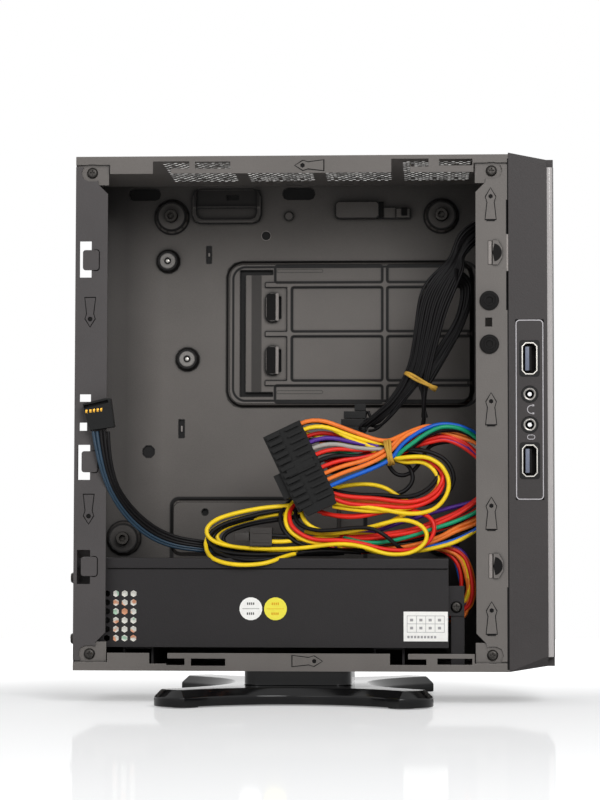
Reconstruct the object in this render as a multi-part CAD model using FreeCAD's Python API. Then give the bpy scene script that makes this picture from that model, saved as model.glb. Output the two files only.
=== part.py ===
import FreeCAD, Part
import math
import os

from FreeCAD import Vector

# Mini ITX pc case on a four-footed stand, side cover off, with its supply and leads.
# Lengths are millimetres. While it is built, the case lies in these axes:
# x runs from the rear sheet to the front, y from the open side to the closed side,
# z upwards from the underside of the chassis. The last step moves it onto its stand.

# Chassis
chassis_width = 90.0
chassis_height = 234.0
sheet = 1.0
end_flange = 14.7
long_flange = 8.0
flange_strip = 3.8
corner_gap = 0.9
corner_screw_inset = 7.5
corner_screw_radius = 1.5
screw_slack = 0.25
lug_size = 14.0
slide_fit = 0.3
cover_sheet = 0.8
cover_inset = 0.5
cover_corner = 2.0
touch_gap = 0.1

# Motherboard seats, on the standard mini ITX hole pattern
board_rear_margin = 2.0
board_front_margin = 29.9
board_bottom_margin = 60.3
hole_from_rear = 10.16
hole_from_rear_top = 33.02
hole_row_length = 154.94
hole_row_height = 157.48
seat_rise = 3.0
seat_radius = 8.7
seat_top_radius = 7.2
standoff_height = 3.5
standoff_radius = 3.2
standoff_bore = 1.25
post_sides = 10
seat_sides = 12
board_thickness = 1.6
connector_opening_length = 158.75
connector_opening_height = 44.45
connector_opening_drop = 3.8

# Two threaded inserts in the side wall
insert_radius = 2.6
insert_bore = 1.5
insert_height = 2.4
insert_seat_radius = 6.0

# Stamped drive zone
drive_zone_left = 61.8
drive_zone_length = 121.0
drive_zone_bottom = 123.9
drive_zone_height = 72.0
drive_zone_corner = 7.8
drive_zone_rise = 2.0
drive_zone_slope = 3.0
rib_width = 2.4
rib_rise = 0.8
hook_width = 6.4
hook_height = 14.0
hook_rise = 2.6
hook_inset = 19.7
hook_spread = 0.18
hook_corner = 2.4
hook_window_inset = 1.6
rib_inset = 19.4
first_upright = 11.8
second_upright = 58.3
zone_slot_inset = 7.1
zone_slot_margin = 5.5
zone_slot_width = 2.6
zone_slot_reach = 16.0
zone_slot_rise = 2.0

# Other features of the side wall: spans are left, right, bottom and top, in x and z
recess_left = 45.1
recess_length = 33.8
recess_height = 17.0
recess_margin = 2.5
recess_rim = 2.1
recess_proud = 2.0
recess_corner = 4.0
ledge_drop = 9.4
ledge_height = 1.2
ledge_proud = 1.3
recess_slot_inset = 16.9
recess_slot_length = 5.8
recess_slot_drop = 5.4
recess_slot_height = 2.2
clip_drop = 17.5
clip_steps = ((136.0, 145.2, 2.0, 5.4), (145.0, 151.8, 2.8, 4.8))
clip_left = 115.5
clip_length = 21.1
clip_height = 8.2
clip_proud = 3.0
notch_spans = ((13.9, 29.3), (89.5, 105.2))
notch_drop = 7.8
notch_height = 5.6
notch_corner = 2.5
wall_slots = ((52.1, 54.6, 194.9, 203.3), (38.8, 41.6, 109.4, 118.2), (42.0, 50.0, 54.9, 58.9))
wall_rounds = ((81.4, 208.4, 2.2), (24.1, 102.6, 3.1), (52.0, 73.1, 1.7))
bump_place = (92.6, 217.9)
bump_radius = 2.2
bump_rise = 1.2
platform_left = 35.0
platform_right = 118.0
platform_top = 79.6
platform_rise = 1.6
platform_corner = 5.0

# Vents
vent_pitch = 3.45
vent_row_pitch = 2.99
vent_radius = 1.2
vent_groups = 4
vent_first_x = 39.0
vent_group_pitch = 37.0
vent_group_columns = 9
vent_group_rows = 20
vent_keep_column = 3
vent_keep_row = 7
vent_far_row = 72.0
rear_slot_count = 9
rear_slot_pitch = 15.0
slot_vent_width = 1.8
slot_vent_length = 30.0
slot_vent_pitch = 3.5
slot_vent_count = 10

# Flanges: slots are left, right, near and far from the outer face; windows are left, right, bottom, top
arrow_width = 4.6
top_flange_slots = ((35.3, 43.6, 2.4, 9.0), (43.0, 51.9, 2.4, 5.6), (54.6, 70.7, 2.6, 5.8),
                    (144.1, 152.6, 1.8, 9.0), (152.0, 161.0, 1.8, 5.4), (165.8, 180.9, 2.0, 5.0))
bottom_flange_slots = ((34.7, 43.0, 3.2, 9.0), (42.5, 50.8, 2.6, 5.6), (53.6, 69.2, 2.3, 5.6),
                       (143.4, 151.6, 3.0, 9.0), (151.0, 159.8, 3.0, 5.6), (164.7, 180.4, 3.2, 6.0))
top_arrow_x = 113.2
top_arrow_length = 12.8
bottom_arrow_x = 99.6
bottom_arrow_length = 13.2
side_arrow_length = 14.0
rear_window_spans = ((2.0, 7.4, 178.5, 195.1), (2.4, 7.5, 121.7, 125.1), (2.4, 5.8, 108.5, 112.2),
                     (1.6, 7.3, 86.2, 102.1), (1.6, 7.6, 39.0, 54.4))
rear_tab_spans = ((182.6, 191.0), (90.0, 99.0), (42.6, 50.6))
rear_tab_x = 5.6
rear_tab_bulge = 6.0
tab_proud = 0.8
rear_arrows = ((7.2, 156.0), (6.6, 66.4))
front_tab_starts = (183.6, 42.0)
front_tab_height = 11.0
front_tab_bulge = 4.2
front_slit_inset = 9.2
front_slit_width = 2.2
front_arrow_inset = 7.9
front_arrow_starts = (204.4, 111.3, 64.2, 17.2)
front_window_inset = 10.5
front_window_width = 3.2
front_window_z = 155.5
front_window_height = 4.1

# Front bezel and fascia
bezel_depth = 17.5
bezel_wall = 2.4
bezel_rise = 0.8
bezel_taper = 2.6
bezel_side_chamfer = 6.0
bezel_corner_chamfer = 4.5
fascia_depth = 3.1
fascia_margin = 4.2
fascia_corner = 2.0
power_button_radius = 7.0
power_button_travel = 1.0
reset_button_radius = 2.5
reset_button_travel = 0.8
power_sides = 32
reset_sides = 14
button_proud = 0.8
button_clearance = 0.25
button_edge = 0.5
power_button_z = 206.0
reset_button_z = 190.0
lens_radius = 1.5
lens_z = 180.0
lens_spacing = 6.0
lens_sides = 8
board_sheet = 1.6

# Port plate in the side of the bezel
port_plate_from_front = 1.8
port_plate_width = 12.5
port_plate_bottom = 77.3
port_plate_thickness = 2.0
port_end_margin = 10.3
port_gap = 4.2
usb_length = 14.5
usb_width = 7.0
usb_depth = 14.0
usb_wall = 0.5
usb_tongue = 1.9
jack_pitch = 13.8
jack_radius = 3.8
jack_sides = 14
jack_bore = 1.8
jack_body = 9.5

# Power supply
psu_length = 168.8
psu_from_side_wall = 0.9
psu_lift = 10.4
psu_wall = 0.8
psu_lip = 4.6
psu_hole_pitch = 4.04
psu_hole_radius = 1.55
psu_hole_columns = 4
psu_hole_rows = 6
psu_hole_sides = 6
fan_size = 38.0
fan_headroom = 2.5
fan_margin = 3.0
fan_wall = 1.2
fan_tip_gap = 0.9
fan_slots = 7
fan_sides = 20
fan_thickness = 15.0
fan_hub_radius = 9.0
fan_blades = 7
fan_pin_radius = 1.5
fan_running_gap = 0.06
inlet_width = 27.0
inlet_height = 20.0
inlet_depth = 17.0
inlet_wall = 1.6
inlet_flange = 1.5
inlet_margin = 9.0
inlet_fan_gap = 3.6
inlet_chamfer = 4.0
rear_screw_radius = 2.8
rear_screw_head = 2.4
rear_screw_shank = 1.5
screw_sides = 10
bracket_setback = 4.6
bracket_screw_radius = 1.2
transformer_length = 30.0
transformer_width = 28.0
transformer_height = 24.0
transformer_from_front = 50.0
coil_inset = 4.0
coil_proud = 5.0
capacitor_from_rear = 56.0
capacitor_from_front = 30.0
large_can_radius = 8.0
large_can_height = 24.0
small_can_radius = 4.5
small_can_height = 18.0
heat_sink_from_front = 44.0
heat_sink_web = 2.4
heat_sink_height = 26.0
heat_sink_fins = 6
heat_sink_pitch = 4.2
heat_sink_fin = 1.4
heat_sink_fin_reach = 5.6
sticker_thickness = 0.3
sticker_radius = 5.2
sticker_sides = 20
label_length = 20.0
label_height = 13.4

# Stand
stand_height = 15.0
stand_center_x = 101.0
stand_half_length = 62.0
stand_half_width = 80.0
stand_waist_x = 34.0
stand_tip_inset_x = 15.0
stand_tip_inset_y = 17.0
stand_shoulder_inset_x = 3.0
stand_shoulder_inset_y = 7.0
stand_waist_y = 53.0
stand_arm_height = 7.4
stand_edge_height = 4.0
pedestal_length = 49.0
pedestal_width = 62.0
pedestal_corner = 7.0
waist_edges = 14
tip_edges = 6
foot_pad_radius = 6.0
foot_pad_proud = 0.6
pad_sides = 16
stand_screw_radius = 1.7
foot_pad_x = 48.0
foot_pad_y = 66.0

# Rubber bumpers on the front flange
bumper_radius = 4.4
bumper_thickness = 1.5
bumper_stem_radius = 2.0
bumper_sides = 16
bumper_from_front = 8.6
bumper_lower_z = 147.5
bumper_spacing = 19.8

# Leads. The slabs stand for bundles of wires held by bands.
main_plug_length = 38.0
main_plug_reach = 18.5
main_plug_thickness = 11.0
main_plug_angle = 64.5
main_plug_foot = (101.6, 71.6)
main_plug_columns = 12
main_plug_rows = (0.28, 0.72)
cell_depth = 5.0
plug_cell = 2.6
bundle_front = 11.0
bundle_depth = 16.0
band_thickness = 1.2
band_width = 3.6
band_half_reach = 7.0
cpu_plug_span = (79.4, 89.4)
cpu_plug_lift = 5.6
cpu_plug_height = 8.2
cpu_plug_width = 9.0
cpu_latch_length = 7.4
drive_plug_outline = ((4.6, 120.4), (14.5, 122.9), (17.2, 122.9), (19.0, 110.0), (8.0, 108.4), (6.6, 112.6))
drive_plug_slot = ((5.4, 118.2), (16.4, 121.0), (16.0, 122.2), (5.0, 119.6))
drive_plug_thickness = 5.6
neck_left = 140.0
neck_right = 145.0
neck_low = 94.5
neck_high = 104.5
harness_margin = 3.0
harness_far_outline = ((157.0, 98.8), (166.0, 101.6), (183.0, 98.4), (183.0, 109.6), (170.8, 114.0),
                       (156.0, 113.0))
cable_loop_outline = ((100.0, 58.0), (104.0, 53.0), (140.0, 51.6), (158.0, 51.6), (170.0, 56.0),
                      (183.0, 60.6), (183.0, 78.6), (172.2, 80.0), (170.4, 91.0), (157.4, 98.3),
                      (149.0, 92.2), (127.0, 77.0), (121.4, 71.3), (100.0, 71.3))
left_loops_outline = ((59.0, 62.4), (60.6, 54.6), (66.0, 51.4), (98.8, 51.4), (98.8, 71.0),
                      (92.0, 76.0), (71.0, 73.6), (62.0, 69.4))
left_loops_thickness = 7.0
riser_half = 6.5
riser_outline = ((178.0, 22.4), (185.0, 36.0), (185.0, 60.0), (172.0, 56.2), (172.4, 47.0))
hank_outline = ((169.0, 188.0), (178.4, 188.0), (181.0, 157.0), (163.0, 131.4), (159.6, 125.0),
                (151.4, 129.0), (153.8, 136.0), (156.0, 157.0))
hank_inset = 24.0
hank_thickness = 8.0
hank_band_place = (157.4, 132.9)
hank_band_turn = 29.0
header_inset = 35.4
header_right = 131.6
header_left = 119.0
header_low = 108.6
header_pitch = 3.6
header_height = 3.3
header_count = 3
drive_lead_diameter = 5.0
cpu_lead_diameter = 4.4
front_lead_diameter = 4.0
tube_sides = 6

# Worked out from the driving sizes
chassis_length = board_rear_margin + hole_from_rear + hole_row_length + board_front_margin
open_side = -chassis_width / 2
closed_side = chassis_width / 2
wall_face = closed_side - sheet
flange_back = open_side + sheet
front_face = chassis_length + bezel_depth + fascia_depth
rear_reach = rear_screw_head
front_reach = front_face + button_proud
middle_x = (front_reach - rear_reach) / 2
board_hole_bottom_z = board_bottom_margin
board_hole_top_z = board_hole_bottom_z + hole_row_height
board_hole_rear_x = board_rear_margin + hole_from_rear
board_hole_rear_top_x = board_rear_margin + hole_from_rear_top
board_hole_front_x = board_hole_rear_x + hole_row_length
standoff_face = wall_face - seat_rise - standoff_height
psu_height = fan_size + fan_headroom
psu_depth = inlet_margin + inlet_width + inlet_fan_gap + fan_size + fan_margin
psu_near = wall_face - psu_from_side_wall - psu_depth
psu_far = psu_near + psu_depth
psu_bottom = psu_lift
psu_top = psu_bottom + psu_height
psu_rear = sheet
psu_front = psu_rear + psu_length
fascia_start = chassis_length + bezel_depth
port_plate_x = fascia_start - port_plate_from_front - port_plate_width
port_x = port_plate_x + port_plate_width / 2
port_plate_height = 2 * (port_end_margin + usb_length + port_gap) + jack_body + jack_pitch
usb_lower_z = port_plate_bottom + port_end_margin + usb_length / 2
microphone_z = usb_lower_z + usb_length / 2 + port_gap + jack_body / 2
headphone_z = microphone_z + jack_pitch
usb_upper_z = headphone_z + jack_body / 2 + port_gap + usb_length / 2
port_board_face = open_side + usb_depth
bundle_near = open_side + bundle_front
bundle_far = bundle_near + bundle_depth


def box(x0, x1, y0, y1, z0, z1):
    return Part.makeBox(x1 - x0, y1 - y0, z1 - z0, Vector(x0, y0, z0))


def fused(shapes):
    whole = shapes[0]
    if len(shapes) > 1:
        whole = whole.fuse(shapes[1:])
    return whole.removeSplitter()


def cut_all(solid, tools):
    if not tools:
        return solid
    return solid.cut(tools)


def extruded_xz(points, y0, y1):
    """A flat outline in x and z, given depth along y."""
    corners = [Vector(x, y0, z) for x, z in points]
    face = Part.Face(Part.makePolygon(corners + corners[:1]))
    return face.extrude(Vector(0, y1 - y0, 0))


def soft_outline(x0, x1, z0, z1, radius, steps):
    """A rectangle whose corners are rounded by a few short edges, as x and z."""
    radius = min(radius, 0.49 * min(x1 - x0, z1 - z0))
    points = []
    for x, z, start in ((x1 - radius, z1 - radius, 0), (x0 + radius, z1 - radius, 90),
                        (x0 + radius, z0 + radius, 180), (x1 - radius, z0 + radius, 270)):
        for step in range(steps + 1):
            turn = math.radians(start + 90 * step / steps)
            points.append((x + radius * math.cos(turn), z + radius * math.sin(turn)))
    return points


def soft_xz(x0, x1, z0, z1, y0, y1, radius, steps=2):
    """A plate seen along y, with its four corners rounded by a few short edges."""
    return extruded_xz(soft_outline(x0, x1, z0, z1, radius, steps), y0, y1)


def facet_body(ring_a, ring_b):
    """A closed body with flat sides between two flat outlines of as many corners."""
    rings = [ring_a + ring_a[:1], ring_b + ring_b[:1]]
    faces = [Part.Face(Part.makePolygon(ring)) for ring in rings]
    for index in range(len(ring_a)):
        low, high = rings[0][index:index + 2], rings[1][index:index + 2]
        faces.append(Part.Face(Part.makePolygon([low[0], low[1], high[1], high[0], low[0]])))
    shell = Part.makeShell(faces)
    shell.sewShape()
    solid = Part.makeSolid(shell)
    if solid.Volume < 0:
        solid.reverse()
    return solid


def sloped_pad(x0, x1, z0, z1, rise, corner):
    """A raised pad on the side wall with sloped edges and rounded corners."""
    foot = soft_outline(x0, x1, z0, z1, corner, 3)
    top = soft_outline(x0 + rise, x1 - rise, z0 + rise, z1 - rise, corner - rise, 3)
    return facet_body([Vector(x, wall_face, z) for x, z in foot],
                      [Vector(x, wall_face - rise, z) for x, z in top])


def ring_points(axis, across, along, radius, level, sides):
    """The corners of a many-sided ring round an axis along x, y or z."""
    points = []
    for step in range(sides):
        turn = 2 * math.pi * (step + 0.5) / sides
        u = across + radius * math.cos(turn)
        v = along + radius * math.sin(turn)
        points.append({"x": Vector(level, u, v), "y": Vector(u, level, v), "z": Vector(u, v, level)}[axis])
    return points


def rod(axis, across, along, radius, start, end, sides=8):
    """A many-sided rod along x, y or z, for small round things and holes."""
    ring = ring_points(axis, across, along, radius, start, sides)
    reach = end - start
    way = {"x": Vector(reach, 0, 0), "y": Vector(0, reach, 0), "z": Vector(0, 0, reach)}[axis]
    return Part.Face(Part.makePolygon(ring + ring[:1])).extrude(way)


def disc_y(x, z, radius, y0, y1):
    return Part.makeCylinder(radius, y1 - y0, Vector(x, y0, z), Vector(0, 1, 0))


def disc_x(y, z, radius, x0, x1):
    return Part.makeCylinder(radius, x1 - x0, Vector(x0, y, z), Vector(1, 0, 0))


def stamped_seat(x, z, radius, top_radius):
    """A round dish pressed inwards from the side wall, and the hollow left behind it."""
    face = wall_face - seat_rise
    seat = facet_body(ring_points("y", x, z, radius, wall_face, seat_sides),
                      ring_points("y", x, z, top_radius, face, seat_sides))
    hollow = rod("y", x, z, top_radius - sheet, face + sheet, closed_side, seat_sides)
    return seat, hollow


def board_holes():
    """The four board holes as x and z."""
    return [
        (board_hole_rear_x, board_hole_bottom_z),
        (board_hole_front_x, board_hole_bottom_z),
        (board_hole_rear_top_x, board_hole_top_z),
        (board_hole_front_x, board_hole_top_z),
    ]


def insert_places():
    """The two threaded inserts, set off from the upper rear board hole and the drive zone."""
    upper_z = drive_zone_bottom + drive_zone_height
    return [
        (board_hole_rear_top_x - 1.7, upper_z),
        (board_hole_rear_top_x + 8.0, upper_z - 48.2),
    ]


# Side wall with its stampings

def drive_zone():
    """The raised pad that carries a drive, with sloped edges, and the hollow behind it."""
    x0 = drive_zone_left
    x1 = x0 + drive_zone_length
    z0 = drive_zone_bottom
    z1 = z0 + drive_zone_height
    face = wall_face - drive_zone_rise
    pad = sloped_pad(x0, x1, z0, z1, drive_zone_rise, drive_zone_corner)
    inset = drive_zone_slope
    hollow = soft_xz(x0 + inset, x1 - inset, z0 + inset, z1 - inset,
                     face + sheet, closed_side, drive_zone_corner - inset)
    return pad, hollow


def drive_ribs():
    """Raised beads across the drive zone: three long ones and two upright ones."""
    face = wall_face - drive_zone_rise
    x0 = drive_zone_left + rib_inset
    x1 = drive_zone_left + drive_zone_length - drive_zone_slope
    middle = drive_zone_bottom + drive_zone_height / 2
    spread = drive_zone_height / 3
    ribs = []
    for z in (middle - spread, middle, middle + spread):
        ribs.append(box(x0, x1, face - rib_rise, face, z - rib_width / 2, z + rib_width / 2))
    for x, half in ((x0 + first_upright, spread),
                    (x0 + second_upright, drive_zone_height / 2 - drive_zone_slope)):
        ribs.append(box(x - rib_width / 2, x + rib_width / 2, face - rib_rise, face,
                        middle - half, middle + half))
    return ribs


def drive_hooks():
    """Two hooks lanced out of the drive zone, each with its window."""
    face = wall_face - drive_zone_rise
    x0 = drive_zone_left + hook_inset
    middle = drive_zone_bottom + drive_zone_height / 2
    hooks = []
    windows = []
    for z in (middle - drive_zone_height * hook_spread, middle + drive_zone_height * hook_spread):
        z0 = z - hook_height / 2
        z1 = z + hook_height / 2
        hook = soft_xz(x0, x0 + hook_width, z0, z1, face - hook_rise, face, hook_corner)
        hooks.append(hook)
        windows.append(box(x0 + 1.4, x0 + hook_width + 1, face - hook_rise + sheet, closed_side + 1,
                           z0 + hook_window_inset, z1 - hook_window_inset))
    return hooks, windows


def drive_slots():
    """The tall slot and the two level slots at the rear end of the drive zone."""
    x0 = drive_zone_left + zone_slot_inset
    x1 = x0 + zone_slot_width
    z0 = drive_zone_bottom + zone_slot_margin
    z1 = drive_zone_bottom + drive_zone_height - zone_slot_margin + 0.8
    y0 = wall_face - drive_zone_rise - 1
    y1 = closed_side + 1
    return [
        box(x0, x1, y0, y1, z0, z1),
        box(x1, x0 + zone_slot_reach, y0, y1, z1 - zone_slot_rise - 0.2, z1),
        box(x1, x0 + zone_slot_reach, y0, y1, z0, z0 + zone_slot_rise),
    ]


def handle_recess():
    """The shallow tray near the top edge, with a ledge and a short slot."""
    top = chassis_height - recess_margin
    low = top - recess_height
    right = recess_left + recess_length
    x0 = recess_left + recess_rim
    x1 = right - recess_rim
    outer = soft_xz(recess_left, right, low, top, wall_face - recess_proud, wall_face, recess_corner)
    inner = soft_xz(x0, x1, low + 2.0, top + 1, wall_face - recess_proud - 1, wall_face - 0.4, 3.0)
    ledge = box(x0, x1, wall_face - ledge_proud, wall_face, top - ledge_drop, top - ledge_drop + ledge_height)
    slot_x = recess_left + recess_slot_inset
    slot_z = top - recess_slot_drop
    slot = box(slot_x, slot_x + recess_slot_length, wall_face - recess_proud - 1, closed_side + 1,
               slot_z, slot_z + recess_slot_height)
    return outer, inner, ledge, slot


def spring_clip():
    """The stepped clip pressed out beside the handle recess."""
    z0 = chassis_height - clip_drop
    steps = [soft_xz(clip_left, clip_left + clip_length, z0, z0 + clip_height, wall_face - clip_proud,
                     wall_face, 1.2, 1)]
    for x0, x1, proud, height in clip_steps:
        steps.append(box(x0, x1, wall_face - proud, wall_face, z0, z0 + height))
    return steps


def lower_platform():
    """The raised field under the drive zone, partly behind the leads."""
    return sloped_pad(platform_left, platform_right, psu_top + 1.0, platform_top,
                      platform_rise, platform_corner)


def side_wall():
    """The closed side sheet."""
    plate = box(0, chassis_length, wall_face, closed_side, 0, chassis_height)
    adds = []
    cuts = []
    for x, z in board_holes():
        seat, hollow = stamped_seat(x, z, seat_radius, seat_top_radius)
        adds.append(seat)
        cuts.append(hollow)
    for x, z in insert_places():
        seat, hollow = stamped_seat(x, z, insert_seat_radius, insert_seat_radius - 1.2)
        adds.append(seat)
        cuts.append(hollow)
    pad, hollow = drive_zone()
    adds.append(pad)
    cuts.append(hollow)
    platform = lower_platform()
    adds.append(platform)
    plate = fused([plate] + adds)
    plate = cut_all(plate, cuts)
    outer, inner, ledge, slot = handle_recess()
    hooks, windows = drive_hooks()
    plate = fused([plate, outer.cut(inner)] + spring_clip() + drive_ribs() + hooks + [ledge])
    y0 = wall_face - seat_rise - 1
    y1 = closed_side + 1
    holes = [slot]
    for x0, x1 in notch_spans:
        z0 = chassis_height - notch_drop
        holes.append(soft_xz(x0, x1, z0, z0 + notch_height, y0, y1, notch_corner))
    for x0, x1, z0, z1 in wall_slots:
        holes.append(box(x0, x1, y0, y1, z0, z1))
    for x, z, radius in wall_rounds:
        holes.append(rod("y", x, z, radius, y0, y1))
    plate = cut_all(plate, holes + windows + drive_slots())
    x, z = bump_place
    bump = rod("y", x, z, bump_radius, wall_face - bump_rise, wall_face)
    return plate.fuse(bump).removeSplitter()


def outer_cover():
    """The flat cover on the outside of the side wall, which closes the wall's openings."""
    return soft_xz(cover_inset, chassis_length - cover_inset, cover_inset, chassis_height - cover_inset,
                   closed_side, closed_side + cover_sheet, cover_corner)


# Top and bottom sheets

def corner_screw_places():
    """The four corner screws as x and z."""
    return [(x, z) for x in (corner_screw_inset, chassis_length - corner_screw_inset)
            for z in (corner_screw_inset, chassis_height - corner_screw_inset)]


def corner_tools():
    """The rounded clearances in the flanges round the corner screws."""
    return [soft_xz(x - 4.9, x + 4.9, z - 3.9, z + 3.9, open_side - 1, flange_back, 3.4)
            for x, z in corner_screw_places()]


def long_sheet(z_outer, inward, slots):
    """A top or bottom sheet: inward is -1 for the top and 1 for the bottom."""

    def layer(x0, x1, y0, y1, near, far):
        low, high = sorted((z_outer + inward * near, z_outer + inward * far))
        return box(x0, x1, y0, y1, low, high)

    plate = layer(0, chassis_length, open_side, wall_face, 0, sheet)
    flange = layer(end_flange + corner_gap, chassis_length - end_flange - corner_gap,
                   open_side, flange_back, 0, long_flange)
    strip = layer(0, chassis_length, open_side, flange_back, 0, flange_strip)
    lugs = []
    for x0 in (sheet, chassis_length - sheet - lug_size):
        lugs.append(layer(x0, x0 + lug_size, flange_back, flange_back + sheet, 0, lug_size - 1.0))
    sheet_part = fused([plate, flange, strip] + lugs)
    tools = []
    for x0, x1, near, far in slots:
        tools.append(layer(x0, x1, open_side - 1, flange_back + 0.5 * sheet, near, far))
    return cut_all(sheet_part, tools)


def arrow_outline(x, z, length, height, along_x):
    """A keyhole arrow: flared at its tail and pointed at its head."""
    half = height / 2
    profile = [
        (0, -half), (length * 0.55, -half * 0.62), (length * 0.72, -half * 0.95),
        (length, 0), (length * 0.72, half * 0.95), (length * 0.55, half * 0.62), (0, half),
    ]
    if along_x:
        return [(x + u, z + v) for u, v in profile]
    return [(x + v, z + u) for u, v in profile]


def arrow_mark(x, z, length, height, along_x):
    """A raised keyhole arrow and its small hole."""
    outline = arrow_outline(x, z, length, height, along_x)
    mark = extruded_xz(outline, open_side - 0.35, open_side + 0.2)
    reach = length * 0.74
    hole_x = x + (reach if along_x else 0)
    hole_z = z + (0 if along_x else reach)
    hole = rod("y", hole_x, hole_z, 1.1, open_side - 1, flange_back + 1, 6)
    return mark, hole


def with_arrows(plate, arrows):
    marks = []
    holes = []
    for x, z, length, height, along_x in arrows:
        mark, hole = arrow_mark(x, z, length, height, along_x)
        marks.append(mark)
        holes.append(hole)
    return cut_all(fused([plate] + marks), holes)


def screw_holes():
    """The four corner holes through the lugs."""
    return [rod("y", x, z, corner_screw_radius + screw_slack, open_side - 1, flange_back + 3)
            for x, z in corner_screw_places()]


def top_panel():
    plate = long_sheet(chassis_height, -1, top_flange_slots)
    plate = with_arrows(plate, [(top_arrow_x, chassis_height - arrow_width, -top_arrow_length,
                                 arrow_width, True)])
    vents = []
    for group in range(vent_groups):
        start = vent_first_x + group * vent_group_pitch
        for column in range(1, vent_group_columns, vent_keep_column):
            for row in range(2, vent_group_rows, vent_keep_row):
                x = start + column * vent_pitch + (row % 2) * vent_pitch / 2
                y = open_side + vent_far_row - row * vent_row_pitch
                vents.append(rod("z", x, y, vent_radius, chassis_height - 2 * sheet,
                                 chassis_height + sheet, 6))
    return cut_all(plate, vents + corner_tools() + screw_holes())


def stand_screw_places():
    """The two screws that hold the stand, as x and y."""
    return [(stand_center_x - pedestal_length / 4, 0.0), (stand_center_x + pedestal_length / 4, 0.0)]


def bottom_panel():
    plate = long_sheet(0, 1, bottom_flange_slots)
    plate = with_arrows(plate, [(bottom_arrow_x, arrow_width, bottom_arrow_length, arrow_width, True)])
    lug_x = psu_front + 1.2
    lug_y = psu_near + bracket_setback + sheet
    lug = box(lug_x, lug_x + 6.0, lug_y, lug_y + sheet, 0, psu_lift + 27.0)
    plate = fused([plate, lug])
    vents = []
    for count in range(slot_vent_count):
        x = 128.0 + count * slot_vent_pitch
        vents.append(box(x, x + slot_vent_width, open_side + 18.0,
                         open_side + 18.0 + slot_vent_length, -1, 2))
    for x, y in stand_screw_places():
        vents.append(rod("z", x, y, stand_screw_radius + screw_slack, -1, 2))
    vents.append(rod("y", bracket_screw_x(), bracket_screw_z(), bracket_screw_radius + touch_gap,
                     lug_y - 1, lug_y + 2, 6))
    return cut_all(plate, vents + corner_tools() + screw_holes())


# Rear and front sheets

def end_sheet(x_outer, inward):
    """A rear or front sheet: inward is 1 for the rear and -1 for the front."""

    def layer(near, far, y0, y1, z0, z1):
        low, high = sorted((x_outer + inward * near, x_outer + inward * far))
        return box(low, high, y0, y1, z0, z1)

    z0 = flange_strip + corner_gap
    z1 = chassis_height - z0
    web = layer(0, sheet, flange_back, wall_face, sheet, chassis_height - sheet)
    flange = layer(0, end_flange, open_side, flange_back, z0, z1)
    plate = fused([web, flange])
    corner = 4.5
    cuts = []
    for z, up in ((z0, 1), (z1, -1)):
        inner = x_outer + inward * end_flange
        low_z = z + up * 8.0
        points = [(inner + inward, z - up), (inner + inward, low_z + up * corner),
                  (inner, low_z + up * corner), (inner - inward * corner, low_z),
                  (inner - inward * corner, z - up)]
        cuts.append(extruded_xz(points, open_side - 1, flange_back))
    return cut_all(plate, cuts)


def half_round_tab(x, z0, z1, bulge, proud):
    """A tab pressed out beside a window: straight on one side, rounded on the other."""
    corner = (z1 - z0) * 0.3
    outline = [(x, z0), (x + bulge * 0.55, z0), (x + bulge, z0 + corner), (x + bulge, z1 - corner),
               (x + bulge * 0.55, z1), (x, z1)]
    return extruded_xz(outline, open_side - proud, open_side + 0.4)


def rear_windows():
    """Windows in the rear flange, and the tabs pressed out beside them."""
    windows = []
    tabs = []
    for x0, x1, z0, z1 in rear_window_spans:
        windows.append(box(x0, x1, open_side - 1, flange_back, z0, z1))
    for z0, z1 in rear_tab_spans:
        tabs.append(half_round_tab(rear_tab_x, z0, z1, rear_tab_bulge, tab_proud))
    return windows, tabs


def psu_rear_cuts(x0, x1):
    """Openings in the supply's own rear wall: slots before the fan, the inlet and the screws."""
    fan_y, fan_z = fan_center()
    reach = fan_size / 2 - 2.0
    cuts = []
    step = 2 * reach / fan_slots
    for count in range(fan_slots):
        z = fan_z - reach + (count + 0.5) * step
        half = math.sqrt(reach * reach - (z - fan_z) ** 2)
        cuts.append(box(x0, x1, fan_y - half, fan_y + half, z - step * 0.3, z + step * 0.3))
    y, z = inlet_center()
    cuts.append(box(x0, x1, y - inlet_width / 2 - touch_gap, y + inlet_width / 2 + touch_gap,
                    z - inlet_height / 2 - touch_gap, z + inlet_height / 2 + touch_gap))
    return cuts + rear_screw_holes(x0, x1)


def fan_center():
    return psu_far - fan_size / 2 - fan_margin, (psu_bottom + psu_top) / 2


def inlet_center():
    return psu_near + inlet_width / 2 + inlet_margin, psu_bottom + inlet_height / 2 + 5.0


def rear_screw_holes(x0, x1):
    return [rod("x", y, z, rear_screw_shank + screw_slack, x0, x1, 6) for y, z in rear_screw_places()]


def psu_opening(x0, x1):
    """The stepped opening in the rear sheet that shows the supply's inlet and fan slots."""
    y, z = fan_center()
    half = fan_size / 2 - 1.0
    inlet_y, inlet_z = inlet_center()
    reach_y = inlet_width / 2 + 2.5
    reach_z = inlet_height / 2 + 2.5
    return [
        box(x0, x1, y - half, psu_far - 2.0, z - half, z + half),
        box(x0, x1, inlet_y - reach_y, y, inlet_z - reach_z, inlet_z + reach_z),
    ]


def rear_screw_places():
    """Screws through the rear sheet into the supply, as y and z."""
    return [
        (psu_near + 3.4, psu_bottom + 31.3),
        (psu_near + 3.4, psu_bottom + 3.6),
        (psu_near + 30.0, psu_top - 4.6),
    ]


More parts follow.
